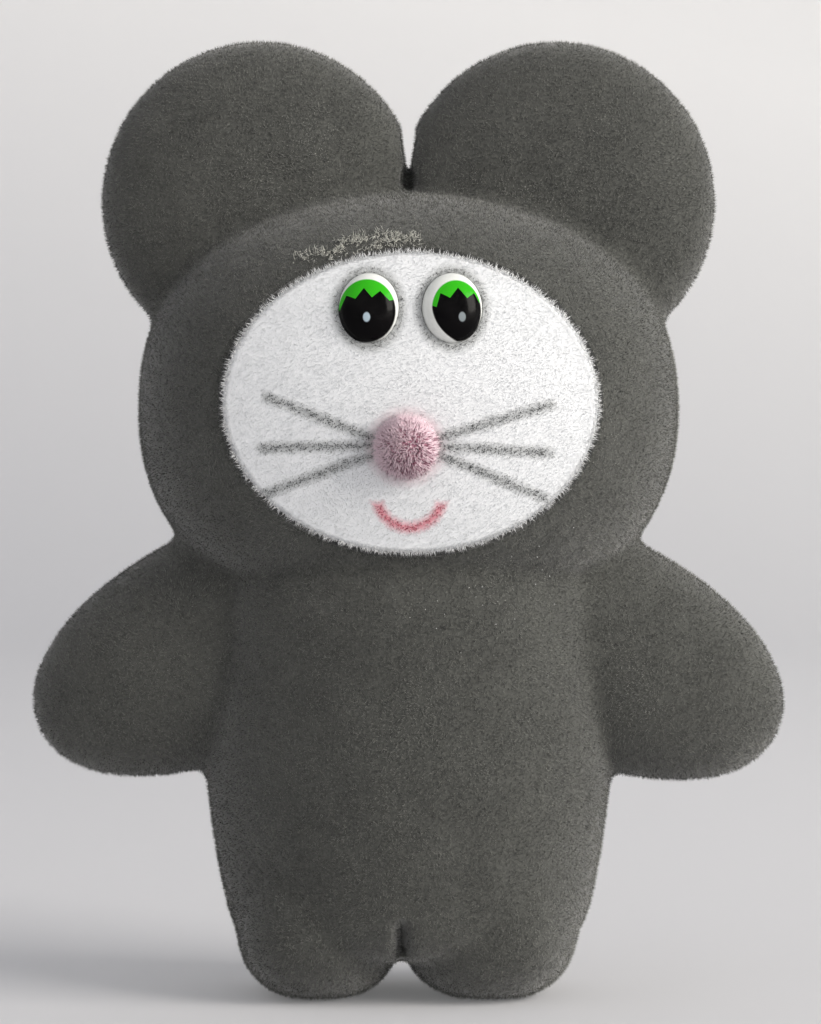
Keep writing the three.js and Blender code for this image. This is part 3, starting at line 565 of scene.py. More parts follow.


def wants_grey(places, normals):
    recess = (places[:, 1] < -NEAR_SEAM) & (oval_reach(places, RECESS_GAP) < 0.995)
    flange = (places[:, 1] > NEAR_SEAM) & (bush_reach(places) < FLANGE_RADIUS)
    sole = (places[:, 2] < 0.3 * MM) & (normals[:, 2] < -0.8)
    # The bare strip leaves the darker ground in the crease as painted shade.
    crease = np.abs(places[:, 0] / MM - LEG_CREASE["x"]) < BARE_SHADE_HALF
    crease &= (places[:, 2] < LEG_CREASE["top"] * MM) & (places[:, 2] > LEG_CREASE["bottom"] * MM)
    return ~(recess | flange | sole | crease)


for skin, half_name in ((front_skin, "front"), (back_skin, "back")):
    spots, normals = scatter(skin, BATCH * len(GREY_BATCHES), wants_grey)
    directions = leaning(normals, 0.38, spots, lean=0.35)
    lengths = rng.uniform(SHORTEST_GREY, LONGEST_GREY, len(spots)) * MM
    shade = np.argsort(patches(spots, PATCH, 21) * 0.15 + rng.normal(size=len(spots)))
    for i, (shade_name, colour) in enumerate(GREY_BATCHES):
        own = shade[i * BATCH : (i + 1) * BATCH]
        slivers(
            f"{half_name}_flock_{shade_name}", spots[own], directions[own], lengths[own], GREY_WIDTH, colour,
            "grey_flock", lowest=0.02 * MM,
        )


# %% [markdown]
# The face plate is a domed oval board, flocked white before it was glued into its recess, and its whiskers
# and mouth were sprayed on through a stencil. The marks are drawn twice by the same measures: in the
# ground's material, as distances to lines, and again in the fibres, where a fibre near a line is a grey or
# red one. The ground is also tinted pink round the nose, and a grey ring round each eye is painted shade.

# %% Stencilled marks
WHISKERS = [
    ((-4.7, 69.2), (-17.1, 74.1)), ((-4.7, 68.3), (-17.6, 68.0)), ((-4.8, 67.1), (-17.2, 62.6)),
    ((3.3, 69.2), (16.6, 73.1)), ((3.5, 68.2), (16.5, 67.4)), ((3.3, 67.2), (15.9, 62.1)),
]
WHISKER_HALF = 0.45
EYE_HALF = (3.6, 2.4, 4.3)
EYE_PLACE = (4.95, -21.94, 84.6)
MOUTH = {"centre": (-0.1, 62.5), "radius": 3.95, "top": 60.9, "half": 0.45}
NOSE = {"centre": (-0.55, -24.83, 68.1), "radius": 3.2, "blush": 5.2}
EYE_SHADE_REACH = 1.35  # how many times the eye's size the painted shade round it reaches
WOBBLE, WOBBLE_GRAIN = 0.5 * MM, 0.35 * MM  # how far the ink strays, and over what distance


def whisker_distance(places):
    """In millimetres, from each place to the nearest whisker's middle line, seen from the front."""
    flat = places[:, [0, 2]] / MM
    nearest = np.full(len(flat), 1e9)
    for start, end in WHISKERS:
        start, along = np.array(start), np.array(end) - np.array(start)
        share = np.clip((flat - start) @ along / (along @ along), 0, 1)
        nearest = np.minimum(nearest, np.linalg.norm(flat - start - share[:, None] * along, axis=1))
    return nearest


def mouth_distance(places):
    flat = places[:, [0, 2]] / MM
    from_arc = np.abs(np.linalg.norm(flat - MOUTH["centre"], axis=1) - MOUTH["radius"])
    return np.maximum(from_arc, flat[:, 1] - MOUTH["top"])


def reach_in_oval(tree, place, middle, half):
    """The socket of how far out a place is in an oval, where 1 is its edge."""
    scale = [1 / v if v else 0 for v in half]
    back = [-m * v for m, v in zip(middle, scale)]
    scaled = add(tree, "VectorMath", {0: place, 1: scale, 2: back}, operation="MULTIPLY_ADD").outputs[0]
    return add(tree, "VectorMath", {0: scaled}, operation="LENGTH").outputs["Value"]


white_ground, tree, shader, place, white = flock_ground(
    "white nylon flock with stencilled marks", "#e4e6e9", "#eaecee", sheen=0.0, relief=0.06
)
wobble = add(tree, "TexNoise", {"Vector": place, "Scale": 1 / WOBBLE_GRAIN, "Detail": 2.0})
wobbled = add(
    tree, "VectorMath",
    {0: wobble.outputs["Color"], 1: (WOBBLE, 0, WOBBLE), 2: place}, operation="MULTIPLY_ADD",
)
flat = add(
    tree, "VectorMath",
    {0: wobbled.outputs[0], 1: (1, 0, 1), 2: (-WOBBLE / 2, 0, -WOBBLE / 2)}, operation="MULTIPLY_ADD",
).outputs[0]
nearest = None
for start, end in WHISKERS:
    start, end = Vector((start[0], 0, start[1])) * MM, Vector((end[0], 0, end[1])) * MM
    along = end - start
    off = add(tree, "VectorMath", {0: flat, 1: start}, operation="SUBTRACT").outputs[0]
    scaled = along / along.length_squared
    share = add(tree, "VectorMath", {0: off, 1: scaled}, operation="DOT_PRODUCT")
    share = add(tree, "Clamp", {"Value": share.outputs["Value"]}).outputs[0]
    foot = add(tree, "VectorMath", {0: along, "Scale": share}, operation="SCALE").outputs[0]
    gap = add(tree, "VectorMath", {0: off, 1: foot}, operation="DISTANCE").outputs["Value"]
    if nearest is not None:
        gap = add(tree, "Math", {0: gap, 1: nearest}, operation="MINIMUM").outputs[0]
    nearest = gap
mouth_middle = Vector((MOUTH["centre"][0], 0, MOUTH["centre"][1])) * MM
out = add(tree, "VectorMath", {0: flat, 1: mouth_middle}, operation="DISTANCE")
out = {0: out.outputs["Value"], 1: MOUTH["radius"] * MM}
out = add(tree, "Math", out, operation="SUBTRACT").outputs[0]
out = add(tree, "Math", {0: out}, operation="ABSOLUTE").outputs[0]
height = add(tree, "SeparateXYZ", {"Vector": flat}).outputs["Z"]
over = add(tree, "Math", {0: height, 1: MOUTH["top"] * MM}, operation="SUBTRACT").outputs[0]
from_mouth = add(tree, "Math", {0: out, 1: over}, operation="MAXIMUM").outputs[0]
nose_middle = Vector((NOSE["centre"][0], 0, NOSE["centre"][2])) * MM
from_nose = add(tree, "VectorMath", {0: flat, 1: nose_middle}, operation="DISTANCE").outputs["Value"]
marks = [
    (from_nose, 3.4 * MM, NOSE["blush"] * MM, 0.65, "#e4c8d0"),
    (from_mouth, 0.1 * MM, 1.0 * MM, 0.7, "#e2697e"),
    (nearest, 0.1 * MM, 0.95 * MM, 0.54, "#7d807f"),
]
# The grey ring round each eye is painted shade, darkest at the eye's edge.
for side in (-1, 1):
    middle = (side * EYE_PLACE[0] * MM, 0, EYE_PLACE[2] * MM)
    reach = reach_in_oval(tree, flat, middle, (EYE_HALF[0] * MM, 0, EYE_HALF[2] * MM))
    marks.append((reach, 1.0, EYE_SHADE_REACH, 0.75, "#8d908f"))
colour = white
for distance, full, faded, strength, ink in marks:
    limits = {"Value": distance, "From Min": full, "From Max": faded, "To Min": strength, "To Max": 0.0}
    share = add(tree, "MapRange", limits).outputs[0]
    colour = add(tree, "Mix", {0: share, 6: colour, 7: ink}, data_type="RGBA").outputs[2]
tree.links.new(colour, shader.inputs["Base Color"])

# %% [markdown]
# The eyes are cabochons of white plastic, each with a stem behind that snaps through the board. An eye is
# half a sphere, cut flat behind, with the stem joined to it. The board's seats for them are cut with the
# same form made a little larger, and so is the nose's seat.

# %% Eyes, nose and the seats for them
EYE_OUT, EYE_UP = 5, 9  # degrees that each eye is turned outwards and upwards
EYE_GAP, NOSE_GAP, STEM_GAP = 0.06, 0.1, 0.15  # how much larger the seats are, in millimetres
STEM_RADIUS, STEM_LENGTH = 1.1, 4.6
EYE_EDGE = 2.25  # the power of the eye's dome
UV_SPAN = 10  # the eye's UV map takes in this many millimetres


def eye_turn(side):
    out = Matrix.Rotation(math.radians(side * EYE_OUT), 4, "Z")
    turn = out @ Matrix.Rotation(math.radians(-EYE_UP), 4, "X")
    return Matrix.Translation(Vector((side * EYE_PLACE[0], *EYE_PLACE[1:])) * MM) @ turn


def stemmed(obj, radius, length, start_y):
    """Joins a stem to a form, from start_y backwards."""
    clear_selection()
    middle = (0, start_y + length / 2, 0)
    bpy.ops.mesh.primitive_cylinder_add(
        vertices=32, radius=radius, depth=length, rotation=(math.pi / 2, 0, 0), location=middle
    )
    return combine(obj, "UNION", apply_place(bpy.context.object))


def eye_form(grow=0.0):
    clear_selection()
    bpy.ops.mesh.primitive_uv_sphere_add(segments=96, ring_count=64, radius=1, rotation=(math.pi / 2, 0, 0))
    obj = settled(apply_place(bpy.context.object))
    places = points_of(obj)
    across = np.hypot(places[:, 0], places[:, 2])
    stretch = (across**EYE_EDGE + np.abs(places[:, 1]) ** EYE_EDGE) ** (-1 / EYE_EDGE)
    put_points(obj, places * stretch[:, None] * (np.array(EYE_HALF) + grow) * MM)
    cut_away(obj, grow * MM, in_front=False, fill=True)
    return stemmed(obj, (STEM_RADIUS + grow) * MM, (STEM_LENGTH + grow) * MM, -0.5 * MM)


def nose_form(radius, grow=0.0):
    clear_selection()
    bpy.ops.mesh.primitive_uv_sphere_add(segments=64, ring_count=40, radius=radius * MM)
    obj = stemmed(settled(bpy.context.object), (STEM_RADIUS + grow) * MM, 6.2 * MM, 0)
    obj.location = Vector(NOSE["centre"]) * MM
    return apply_place(obj)


def outer_rings():
    """The board's rings: half-width share and height over the recess's floor, in metres."""
    thickness, dome, round_edge = 1.9, 3.0, 0.9
    side_top = thickness + dome * (1 - 0.96**2) - round_edge
    yield 0.965, 0.05 * MM
    yield 0.99, 0.15 * MM
    yield 1.0, 0.5 * MM
    for i in range(7):
        angle = i / 6 * math.pi / 2
        yield 1 - 0.04 * (1 - math.cos(angle)), (side_top + round_edge * math.sin(angle)) * MM
    for share in np.linspace(0.92, 0.04, 23):
        yield share, (thickness + dome * (1 - share**2)) * MM


board = stacked(list(outer_rings()), 192)
board.scale = (PLATE_HALF[0] - SINK, PLATE_HALF[1] - SINK, 1)
board.rotation_euler = (math.pi / 2, 0, 0)
board.location = (PLATE_CENTRE.x, RECESS_FLOOR, PLATE_CENTRE.z)
apply_place(board)
board_skin = copied(board)
for side in (-1, 1):
    seat = eye_form(grow=EYE_GAP)
    seat.matrix_world = eye_turn(side)
    combine(board, "DIFFERENCE", apply_place(seat))
combine(board, "DIFFERENCE", nose_form(NOSE["radius"] + NOSE_GAP, grow=STEM_GAP))
finish_piece(board, "face_plate_flocked", white_ground)
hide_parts("face_plate")

# %% [markdown]
# White fibres stand on the board. Near its rim they are longer and turn to the front, and a fringe of
# others spreads from there over the grey, whiter than the rest as painted light. Each fibre near a
# stencilled line may be a grey or red one instead. Paler fibres round the eyes are painted shade, and
# those beside the whiskers are a haze of their ink. Dark grey fibres lie in a narrow band round the eyes.

# %% White fibres
WHITE = 46000
WHITE_WIDTH = 0.085 * MM
RIM_LONGER = 0.5  # in millimetres
RIM_STARTS, RIM_BAND = 0.965, 0.03  # as shares of the way from the face's middle
MARKED, BLUSHED, TINGED = 0.7, 0.5, 0.4  # the shares of fibres that took the ink
NOSE_COVERS = 2.6  # no fibres stand this near the nose's middle, in millimetres
near_rim = np.abs(oval_reach(points_of(board_skin), 0) - 0.97) < 0.02
RIM_FRONT = points_of(board_skin)[near_rim, 1].min()


def in_eye(places, grow):
    """Whether each place lies within an eye's outline, seen from the front and made larger by grow."""
    found = np.zeros(len(places), bool)
    for side in (-1, 1):
        x = (places[:, 0] / MM - side * EYE_PLACE[0]) / (EYE_HALF[0] + grow)
        z = (places[:, 2] / MM - EYE_PLACE[2]) / (EYE_HALF[2] + grow)
        found |= np.hypot(x, z) < 1
    return found


def nose_distance(places):
    """In millimetres, from each place to the nose's middle, seen from the front."""
    return np.hypot(places[:, 0] / MM - NOSE["centre"][0], places[:, 2] / MM - NOSE["centre"][2])


def wants_white(places, normals):
    on_front = places[:, 1] < RECESS_FLOOR - 0.9 * MM
    return on_front & ~in_eye(places, -0.05) & (nose_distance(places) >= NOSE_COVERS)


spots, normals = scatter(board_skin, WHITE, wants_white)
rim = np.clip((oval_reach(spots, 0) - RIM_STARTS) / RIM_BAND, 0, 1)
noise = rng.normal(size=WHITE)
off_whisker, off_mouth = whisker_distance(spots), mouth_distance(spots)
loose = np.clip(np.maximum(rim, 1 - np.minimum(off_whisker, off_mouth)), 0, 1)[:, None]
forward = np.array([0, -1, 0])
facing = normals + rim[:, None] * 1.2 * (forward - normals)
directions = leaning(facing, 0.1 + 0.32 * loose, spots, lean=0.03)
lengths = rng.uniform(0.12, 0.28, WHITE) + 0.16 * loose[:, 0]
lengths = (lengths + rim * rng.uniform(0, RIM_LONGER, WHITE)) * MM
marked_grey = (off_whisker + 0.12 * noise < WHISKER_HALF) & (rng.random(WHITE) < MARKED)
marked_red = (off_mouth + 0.12 * noise < MOUTH["half"]) & (rng.random(WHITE) < MARKED)
marked_pink = (nose_distance(spots) + 0.5 * noise < NOSE["blush"] - 0.7) & (rng.random(WHITE) < BLUSHED)
marked_pink |= (off_mouth < 1.1) & (rng.random(WHITE) < TINGED)
marked_pink &= ~marked_grey & ~marked_red
plain = ~(marked_grey | marked_red | marked_pink)
# Near the eyes the pale fibres are painted shade; beside the whiskers they are a haze of ink.
pale_share_shade_and_haze = np.where(in_eye(spots, 0.8), 0.6, np.where(off_whisker < 0.9, 0.35, 0.02))
pale_shade_and_haze = plain & (rng.random(WHITE) < pale_share_shade_and_haze)
NO_GLOSS = {"Sheen_Weight": 0.0, "Specular_IOR_Level": 0.0}
for name, own, colour in (
    ("face_flock_white", plain & ~pale_shade_and_haze, "#eaecee"),
    ("face_flock_pale_shade_and_haze", pale_shade_and_haze, "#adaeac"),
    ("face_flock_whiskers", marked_grey, "#2a2e2d"),
    ("face_flock_mouth", marked_red, "#ac2543"),
    ("face_flock_blush", marked_pink, "#f0d8de"),
):
    slivers(name, spots[own], directions[own], lengths[own], WHITE_WIDTH, colour, "white_flock", **NO_GLOSS)

RIM_FIBRES = 4600
RIM_SUNK = 0.2 * MM  # behind the front of the board's rim
around = rng.uniform(0, 2 * math.pi, RIM_FIBRES)
outward = np.stack([np.cos(around), np.zeros(RIM_FIBRES), np.sin(around)], axis=1)
reach = rng.uniform(0.94, 0.995, (RIM_FIBRES, 1))
spots = np.array(PLATE_CENTRE) + outward * reach * np.array([PLATE_HALF[0], 0, PLATE_HALF[1]])
spots[:, 1] = RIM_FRONT + RIM_SUNK
directions = leaning(outward * 0.75 + forward * 0.6, 0.3)
lengths = rng.uniform(0.4, 0.85, RIM_FIBRES) * MM
# The fringe's fibres are whiter than the board's own fibres, as painted light.
slivers("face_flock_rim", spots, directions, lengths, 0.08 * MM, "#fafbfc", "white_flock", **NO_GLOSS)

# Dark grey fibres stand in a narrow band round each eye.
SPECKS = 680
spots, normals = scatter(board_skin, SPECKS * 30, wants_white)
near = in_eye(spots, 0.6)
spots, normals = spots[near][:SPECKS], normals[near][:SPECKS]
directions = leaning(normals * 0.5, 0.6)
lengths = rng.uniform(0.25, 0.5, len(spots)) * MM
slivers("face_flock_specks", spots, directions, lengths, 0.07 * MM, "#3c3e3c", "white_flock", sunk=0)

# %% [markdown]
# Each eye's picture is printed: a green lid over a black iris whose top edge is a row of lashes, and a pale
# dot. It lies in the eye's own UV map, which is its front view, so the print turns with the eye. The lash
# edge is a float curve, with straight handles, from across to height. The left eye's print is also cut off by
# a second, round outline.

# %% Printed eyes
EYE_PRINTS = {
    "right_eye": {
        "side": -1, "middle": (-0.14, -0.52), "half": (3.44, 3.72), "dot": (-0.03, -1.5), "second": None,
        "dot_ink": "#a9bac4",
        "lashes": [(-3.33, -0.36), (-2.53, 1.22), (-1.4, 0.72), (-0.41, 2.04), (0.57, 0.85), (1.52, 1.69),
                   (2.62, 0.59), (3.11, 0.77)],
    },
    "left_eye": {
        "side": 1, "middle": (0.38, -0.54), "half": (2.97, 3.61), "dot": (0.97, -1.45), "dot_ink": "#7f878b",
        "second": ((1.95, 0.13), 4.54),
        "lashes": [(-2.56, -0.03), (-2.05, -0.26), (-1.57, 1.42), (-0.45, 0.8), (0.53, 2.1), (1.6, 0.82),
                   (2.48, 1.54), (3.13, 0.45)],
    },
}
DOT_HALF = (0.42, 0.56)
SHARP = 0.06  # millimetres over which a printed edge goes from one ink to the next


def printed_eye_material(name, eye):
    plastic = "#e3e5e2"
    material, tree, shader = new_material(name, plastic, Roughness=0.16, Specular_IOR_Level=0.07, IOR=1.49)
    uv = add(tree, "UVMap", uv_map="front").outputs["UV"]
    mm = add(
        tree, "VectorMath",
        {0: uv, 1: (UV_SPAN, UV_SPAN, 0), 2: (-UV_SPAN / 2, -UV_SPAN / 2, 0)}, operation="MULTIPLY_ADD",
    ).outputs[0]
    split = add(tree, "SeparateXYZ", {"Vector": uv})

    def within(middle, half):
        """1 inside an oval, 0 outside."""
        reach = reach_in_oval(tree, mm, (*middle, 0), (*half, 0))
        edge = SHARP / half[0]
        limits = {"Value": reach, "From Min": 1 - edge, "From Max": 1 + edge, "To Min": 1.0, "To Max": 0.0}
        return add(tree, "MapRange", limits).outputs[0]

    lashes = add(tree, "FloatCurve", {"Value": split.outputs["X"]})
    curve = lashes.mapping.curves[0]
    heights = [(x / UV_SPAN + 0.5, z / UV_SPAN + 0.5) for x, z in eye["lashes"]]
    ends = [(0.0, heights[0][1]), *heights, (1.0, heights[-1][1])]
    curve.points[0].location, curve.points[1].location = ends[0], ends[-1]
    for x, z in heights:
        curve.points.new(x, z)
    for point in curve.points:
        point.handle_type = "VECTOR"
    lashes.mapping.update()
    heights_apart = {0: split.outputs["Y"], 1: lashes.outputs[0]}
    over = add(tree, "Math", heights_apart, operation="SUBTRACT").outputs[0]
    edge = SHARP / 2 / UV_SPAN
    limits = {"Value": over, "From Min": -edge, "From Max": edge}
    is_lid = add(tree, "MapRange", limits).outputs[0]
    ink = add(tree, "Mix", {0: is_lid, 6: "#060506", 7: "#35b01f"}, data_type="RGBA").outputs[2]
    printed = within(eye["middle"], eye["half"])
    if eye["second"]:
        middle, radius = eye["second"]
        uncut = within(middle, (radius, radius))
        printed = add(tree, "Math", {0: printed, 1: uncut}, operation="MULTIPLY").outputs[0]
    colour = add(tree, "Mix", {0: printed, 6: plastic, 7: ink}, data_type="RGBA").outputs[2]
    dotted = {0: within(eye["dot"], DOT_HALF), 6: colour, 7: eye["dot_ink"]}
    colour = add(tree, "Mix", dotted, data_type="RGBA").outputs[2]
    tree.links.new(colour, shader.inputs["Base Color"])
    fine = add(tree, "TexCoord").outputs["Object"]
    ripple = add(tree, "TexNoise", {"Vector": fine, "Scale": 1 / (1.5 * MM), "Detail": 2.0})
    limits = {"Value": ripple.outputs["Fac"], "To Min": 0.12, "To Max": 0.2}
    tree.links.new(add(tree, "MapRange", limits).outputs[0], shader.inputs["Roughness"])
    return material


for node, eye in EYE_PRINTS.items():
    obj = eye_form()
    front_view = points_of(obj)[:, [0, 2]] / MM / UV_SPAN + 0.5
    uv_map = obj.data.uv_layers.new(name="front")
    for loop in obj.data.loops:
        uv_map.data[loop.index].uv = front_view[loop.vertex_index]
    obj.matrix_world = eye_turn(eye["side"])
    apply_place(obj)
    material = printed_eye_material(f"{node} printed polystyrene", eye)
    finish_piece(obj, f"{node}_printed", material, smooth_degrees=50)
    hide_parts(node)

# %% [markdown]
# The nose is a small ball flocked pink, with longer fibres that stand straight out from it like a burr. Two
# shades are mixed, with more of the dark one towards the lower right.

# %% Nose
NOSE_FIBRES = 3900
NOSE_WIDTH = 0.17 * MM
pink_ground = flock_ground("pink nylon flock", "#8d5c6e", "#c896a6", sheen=0.2)[0]
nose = nose_form(NOSE["radius"])
finish_piece(nose, "nose_flocked", pink_ground)
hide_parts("nose")
centre = np.array(NOSE["centre"]) * MM
out = rng.normal(size=(NOSE_FIBRES * 2, 3))
out /= np.linalg.norm(out, axis=1, keepdims=True)
out = out[out[:, 1] < 0.45][:NOSE_FIBRES]
spots = centre + out * NOSE["radius"] * MM
directions = leaning(out, 0.3, spots, lean=0.2, size=1.7 * MM)
lengths = rng.uniform(0.5, 1.2, len(spots)) * MM
dark = rng.random(len(spots)) < 0.12 + 0.26 * (out[:, 0] - out[:, 2])
for name, own, colour in (("nose_flock_pale", ~dark, "#f6dde7"), ("nose_flock_mauve", dark, "#8f566c")):
    slivers(name, spots[own], directions[own], lengths[own], NOSE_WIDTH, colour, "pink_flock")

# %% [markdown]
# Above the face the flock is worn, and pale tangled fibres with glue on them stick out over the board's
# edge. They lie nearly flat, in every direction, in a strip that grows denser to the right.

# %% Worn patch
WORN = 950
WORN_LINE = [
    (-14.0, 90.6), (-11.5, 91.1), (-9.1, 91.8), (-5.7, 92.6), (-2.4, 93.1), (-0.8, 93.5), (1.2, 92.9)
]
WORN_SHARES = [0.2, 0.4, 1.0, 1.1, 1.5, 1.2, 0.2]


def worn(places, normals):
    x, z = places[:, 0] / MM, places[:, 2] / MM
    line_x, line_z = zip(*WORN_LINE)
    off = z - np.interp(x, line_x, line_z)
    strength = np.interp(x, line_x, WORN_SHARES, left=0, right=0)
    return (places[:, 1] < -10 * MM) * wants_grey(places, normals) * strength * np.exp(-((off / 0.75) ** 2))


spots, normals = scatter(front_skin, WORN, worn)
clumped = patches(spots, 1.4 * MM, 31) + 0.4 * rng.normal(size=WORN) > -0.25
spots, normals = spots[clumped], normals[clumped]
tangled = leaning(normals * 0.45, 0.75)
lengths = rng.uniform(0.3, 0.85, len(spots)) * MM
lifted = spots + normals * 0.3 * MM
slivers("worn_fibres", lifted, tangled, lengths, 0.11 * MM, "#c9c9c0", "grey_flock", sunk=0)

# %% [markdown]
# Specks that glint on the chest are drawn as plain white flakes a tenth to a sixth of a millimetre across, as
# painted glints.

# %% Painted glints
FLAKES = 22
FLAKE_LIFT = 0.45 * MM  # they lie on the fibres


def chest(places, normals):
    x, z = places[:, 0] / MM, places[:, 2] / MM
    return np.exp(-(((x - 9) / 8) ** 2) - ((z - 52) / 7) ** 2) * (places[:, 1] < -14 * MM)


spots, normals = scatter(front_skin, FLAKES, chest)
lifted = spots + normals * FLAKE_LIFT
tilted = leaning(normals, 0.5)
# Plain white flakes, so that they show as painted glints from any side.
slivers("painted_glint_flakes", lifted, tilted, 0.1 * MM, 0.15 * MM, "#ffffff", "grey_flock", Roughness=0.3)
for skin in (front_skin, back_skin, board_skin):
    bpy.data.objects.remove(skin)

# %% [markdown]
# The metal pieces are stamped, turned or cast. Stamped plated steel shows faint straight scratches from the
# strip it was cut from. Turned steel and brass show fine rings, too fine to see here, so they are drawn as
# soft stains and a grain in the roughness. Cast zinc is grainy.

# %% Metals
METALS = {
    "plate_steel": ("nickel plated stamped steel", "#b9babb", "#8f9194", 0.24, 0.42, (0.1, 0.1, 2.5)),
    "dark_steel": ("turned and tempered steel", "#8b8d90", "#5f6265", 0.28, 0.5, (0.3, 1.2, 0.3)),
    "brass": ("stamped clock brass", "#c9a55a", "#9b7a3a", 0.24, 0.45, (0.25, 1.0, 0.25)),
    "zinc": ("die cast zinc", "#a8abae", "#7f8285", 0.4, 0.65, (0.4, 0.4, 0.4)),
}


def metal(name, bright, dull, smooth, rough, grain_mm):
    material, tree, shader = new_material(name, bright, Metallic=1.0, Roughness=smooth)
    place = add(tree, "TexCoord").outputs["Object"]
    scale = tuple(1 / (v * MM) for v in grain_mm)
    stretched = add(tree, "VectorMath", {0: place, 1: scale}, operation="MULTIPLY").outputs[0]
    grain = {"Vector": stretched, "Scale": 1.0, "Detail": 4.0}
    grain = add(tree, "TexNoise", grain).outputs[0]
    stain = add(tree, "TexNoise", {"Vector": place, "Scale": 1 / (3 * MM), "Detail": 5.0})
    colour = add(tree, "Mix", {0: stain.outputs["Fac"], 6: bright, 7: dull}, data_type="RGBA").outputs[2]
    tree.links.new(colour, shader.inputs["Base Color"])
    limits = {"Value": grain, "From Min": 0.3, "From Max": 0.7, "To Min": smooth, "To Max": rough}
    tree.links.new(add(tree, "MapRange", limits).outputs[0], shader.inputs["Roughness"])
    relief = add(tree, "Bump", {"Strength": 0.15, "Distance": 0.02 * MM, "Height": grain})
    tree.links.new(relief.outputs["Normal"], shader.inputs["Normal"])
    return material


metals = {slot: metal(*numbers) for slot, numbers in METALS.items()}
for subpart in frame["record"]["subparts"]:
    slot, node = subpart["material_slot"], frame["nodes"][subpart["node"]]
    if slot in metals:
        node.material_slots[0].material = metals[slot]

# %% [markdown]
# The key's bush is a turned brass tube with a flange that rests on the back. It is stacked ring by ring
# like the body, with small chamfers, and then laid along the winding axis.

# %% Bush
FLANGE_THICK = 0.7 * MM
bore = 2.2 * MM
bevel = 0.12 * MM
bush_length = bush_high.y - bush_low.y
tube_end = bush_length - FLANGE_THICK
profile = [
    (bore + bevel, 0), (BUSH_RADIUS - bevel, 0), (BUSH_RADIUS, bevel), (BUSH_RADIUS, tube_end),
    (FLANGE_RADIUS - bevel, tube_end), (FLANGE_RADIUS, tube_end + bevel),
    (FLANGE_RADIUS, bush_length - 2 * bevel), (FLANGE_RADIUS - 2 * bevel, bush_length),
    (bore + bevel, bush_length), (bore, bush_length - bevel), (bore, bevel), (bore + bevel, 0),
]
turned_bush = stacked(profile, 64, closed_ring=True)
turned_bush.rotation_euler = (-math.pi / 2, 0, 0)
turned_bush.location = (BUSH_CENTRE.x, bush_low.y, BUSH_CENTRE.z)
apply_place(turned_bush)
finish_piece(turned_bush, "key_bush_turned", metals["brass"], smooth_degrees=30)
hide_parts("key_bush")

# %% [markdown]
# The key is a turned hub with a square socket and a stamped wing set in it. The wing is two round lobes and
# the neck between them, joined and pierced. Every edge is eased with a small bevel, as tumbling in a barrel
# does.

# %% Key
key_low, key_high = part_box("winding_key")
HUB_RADIUS, HUB_LENGTH = 3 * MM, 3 * MM
LOBE_RADIUS, LOBE_X, LOBE_HOLE = 3.4 * MM, 6.6 * MM, 1.5 * MM
WING_THICK = 1.3 * MM
SOCKET = 2.8 * MM
lobe_y = key_high.y - LOBE_RADIUS
key_z = BUSH_CENTRE.z


def upright_cylinder(x, y, radius, depth):
    clear_selection()
    bpy.ops.mesh.primitive_cylinder_add(vertices=64, radius=radius, depth=depth, location=(x, y, key_z))
    return apply_place(bpy.context.object)


def block(low, high):
    clear_selection()
    bpy.ops.mesh.primitive_cube_add(size=1, location=(Vector(low) + Vector(high)) / 2)
    bpy.context.object.scale = Vector(high) - Vector(low)
    return apply_place(bpy.context.object)


half_thick = WING_THICK / 2
key = block(
    (-LOBE_X, lobe_y - LOBE_RADIUS * 0.62, key_z - half_thick),
    (LOBE_X, lobe_y + LOBE_RADIUS * 0.45, key_z + half_thick),
)
for side in (-1, 1):
    combine(key, "UNION", upright_cylinder(side * LOBE_X, lobe_y, LOBE_RADIUS, WING_THICK))
neck_x = 0.8 * HUB_RADIUS
neck_low = (-neck_x, key_low.y + HUB_LENGTH - 1 * MM, key_z - half_thick)
combine(key, "UNION", block(neck_low, (neck_x, lobe_y, key_z + half_thick)))
for side in (-1, 1):
    combine(key, "DIFFERENCE", upright_cylinder(side * LOBE_X, lobe_y, LOBE_HOLE, 2 * WING_THICK))
hub = stacked([(HUB_RADIUS, 0), (HUB_RADIUS, HUB_LENGTH)], 64)
hub.rotation_euler = (-math.pi / 2, 0, 0)
hub.location = (0, key_low.y, key_z)
combine(key, "UNION", apply_place(hub))
socket = block(
    (-SOCKET / 2, key_low.y - 1 * MM, key_z - SOCKET / 2),
    (SOCKET / 2, key_low.y + HUB_LENGTH - 0.2 * MM, key_z + SOCKET / 2),
)
combine(key, "DIFFERENCE", socket)
modify(key, "BEVEL", width=0.16 * MM, segments=3, limit_method="ANGLE", angle_limit=math.radians(35))
steel = metals["plate_steel"]
finish_piece(key, "winding_key_stamped", steel, smooth_degrees=30, body="winder")
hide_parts("winding_key")
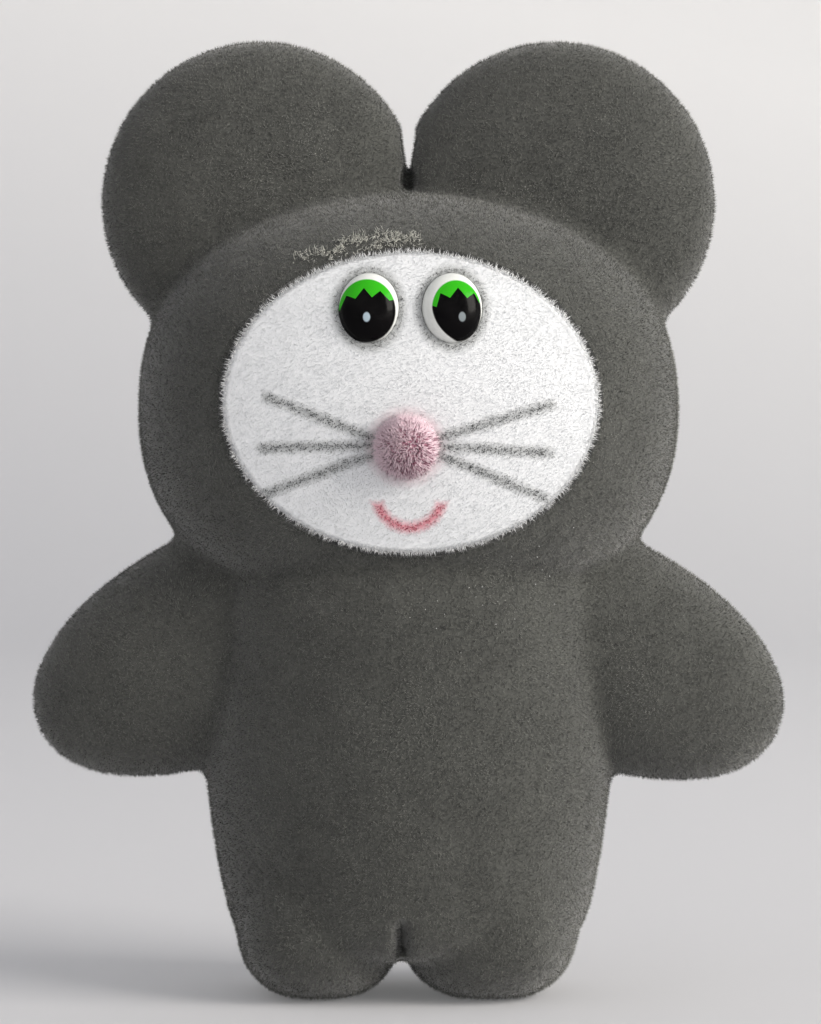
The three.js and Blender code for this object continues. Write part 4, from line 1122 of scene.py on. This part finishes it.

# %% [markdown]
# The figure stands in a wide shallow bowl of pale card, built up from rings, whose edge curves up far
# behind, so no view finds a horizon. The pale world shines in from above, and a large lamp at the upper
# right makes the right side brighter. The card glows a little, which is painted light that lifts its
# shadows, and it is painted darker towards the left and the bottom, as a painted shadow.

# %% Bowl, world and lamps
FLOOR_RADIUS, WALL_ROUND, WALL_TOP = 1.1, 0.9, 2.2
card, tree, shader = new_material("white card with painted glow and painted shadow", "#d8d7d5", Roughness=0.95)
# The emission is painted light: no lamp lies below the card.
shader.inputs["Emission Strength"].default_value = 0.11
place = add(tree, "TexCoord").outputs["Object"]
# A painted shadow: the card is darker towards the left and the bottom.
shadow_fade = {0: place, 1: (0.6, 0.0, 1.6)}
shadow_fade = add(tree, "VectorMath", shadow_fade, operation="DOT_PRODUCT").outputs["Value"]
shadow_fade = add(tree, "MapRange", {"Value": shadow_fade, "From Min": -0.1, "From Max": 0.7}).outputs[0]
colour = add(tree, "Mix", {0: shadow_fade, 6: "#bcbcc0", 7: "#efeeed"}, data_type="RGBA").outputs[2]
tree.links.new(colour, shader.inputs["Base Color"])
rings = [(FLOOR_RADIUS * share, 0) for share in (0.02, 0.3, 1.0)]
for i in range(1, 17):
    angle = i / 16 * math.pi / 2
    rings.append((FLOOR_RADIUS + WALL_ROUND * math.sin(angle), WALL_ROUND * (1 - math.cos(angle))))
rings.append((FLOOR_RADIUS + WALL_ROUND, WALL_TOP))
bowl = stacked(rings, 96)
mesh = bmesh.new()
mesh.from_mesh(bowl.data)
lids = [face for face in mesh.faces if len(face.verts) > 4 and face.calc_center_median().z > 1]
bmesh.ops.delete(mesh, geom=lids, context="FACES_ONLY")
bmesh.ops.reverse_faces(mesh, faces=mesh.faces)
mesh.to_mesh(bowl.data)
mesh.free()
bowl.name = "floor"
bowl.data.materials.append(card)
activate(bowl)
bpy.ops.object.shade_smooth_by_angle(angle=math.radians(40))

world = bpy.data.worlds.new("studio")
scene.world = world
world.use_nodes = True
background = world.node_tree.nodes["Background"]
background.inputs["Color"].default_value = linear("#ebeff8")
background.inputs["Strength"].default_value = 0.41

lamp = bpy.data.lights.new("key light", "AREA")
lamp.size = 1.0
lamp.energy = 33.0
lamp.color = linear("#fffaf2")[:3]
key_light = bpy.data.objects.new("key light", lamp)
key_light.location = (1.4, -0.77, 0.75)
aim = Vector((0, 0, 0.06)) - key_light.location
key_light.rotation_euler = aim.to_track_quat("-Z", "Y").to_euler()
scene.collection.objects.link(key_light)
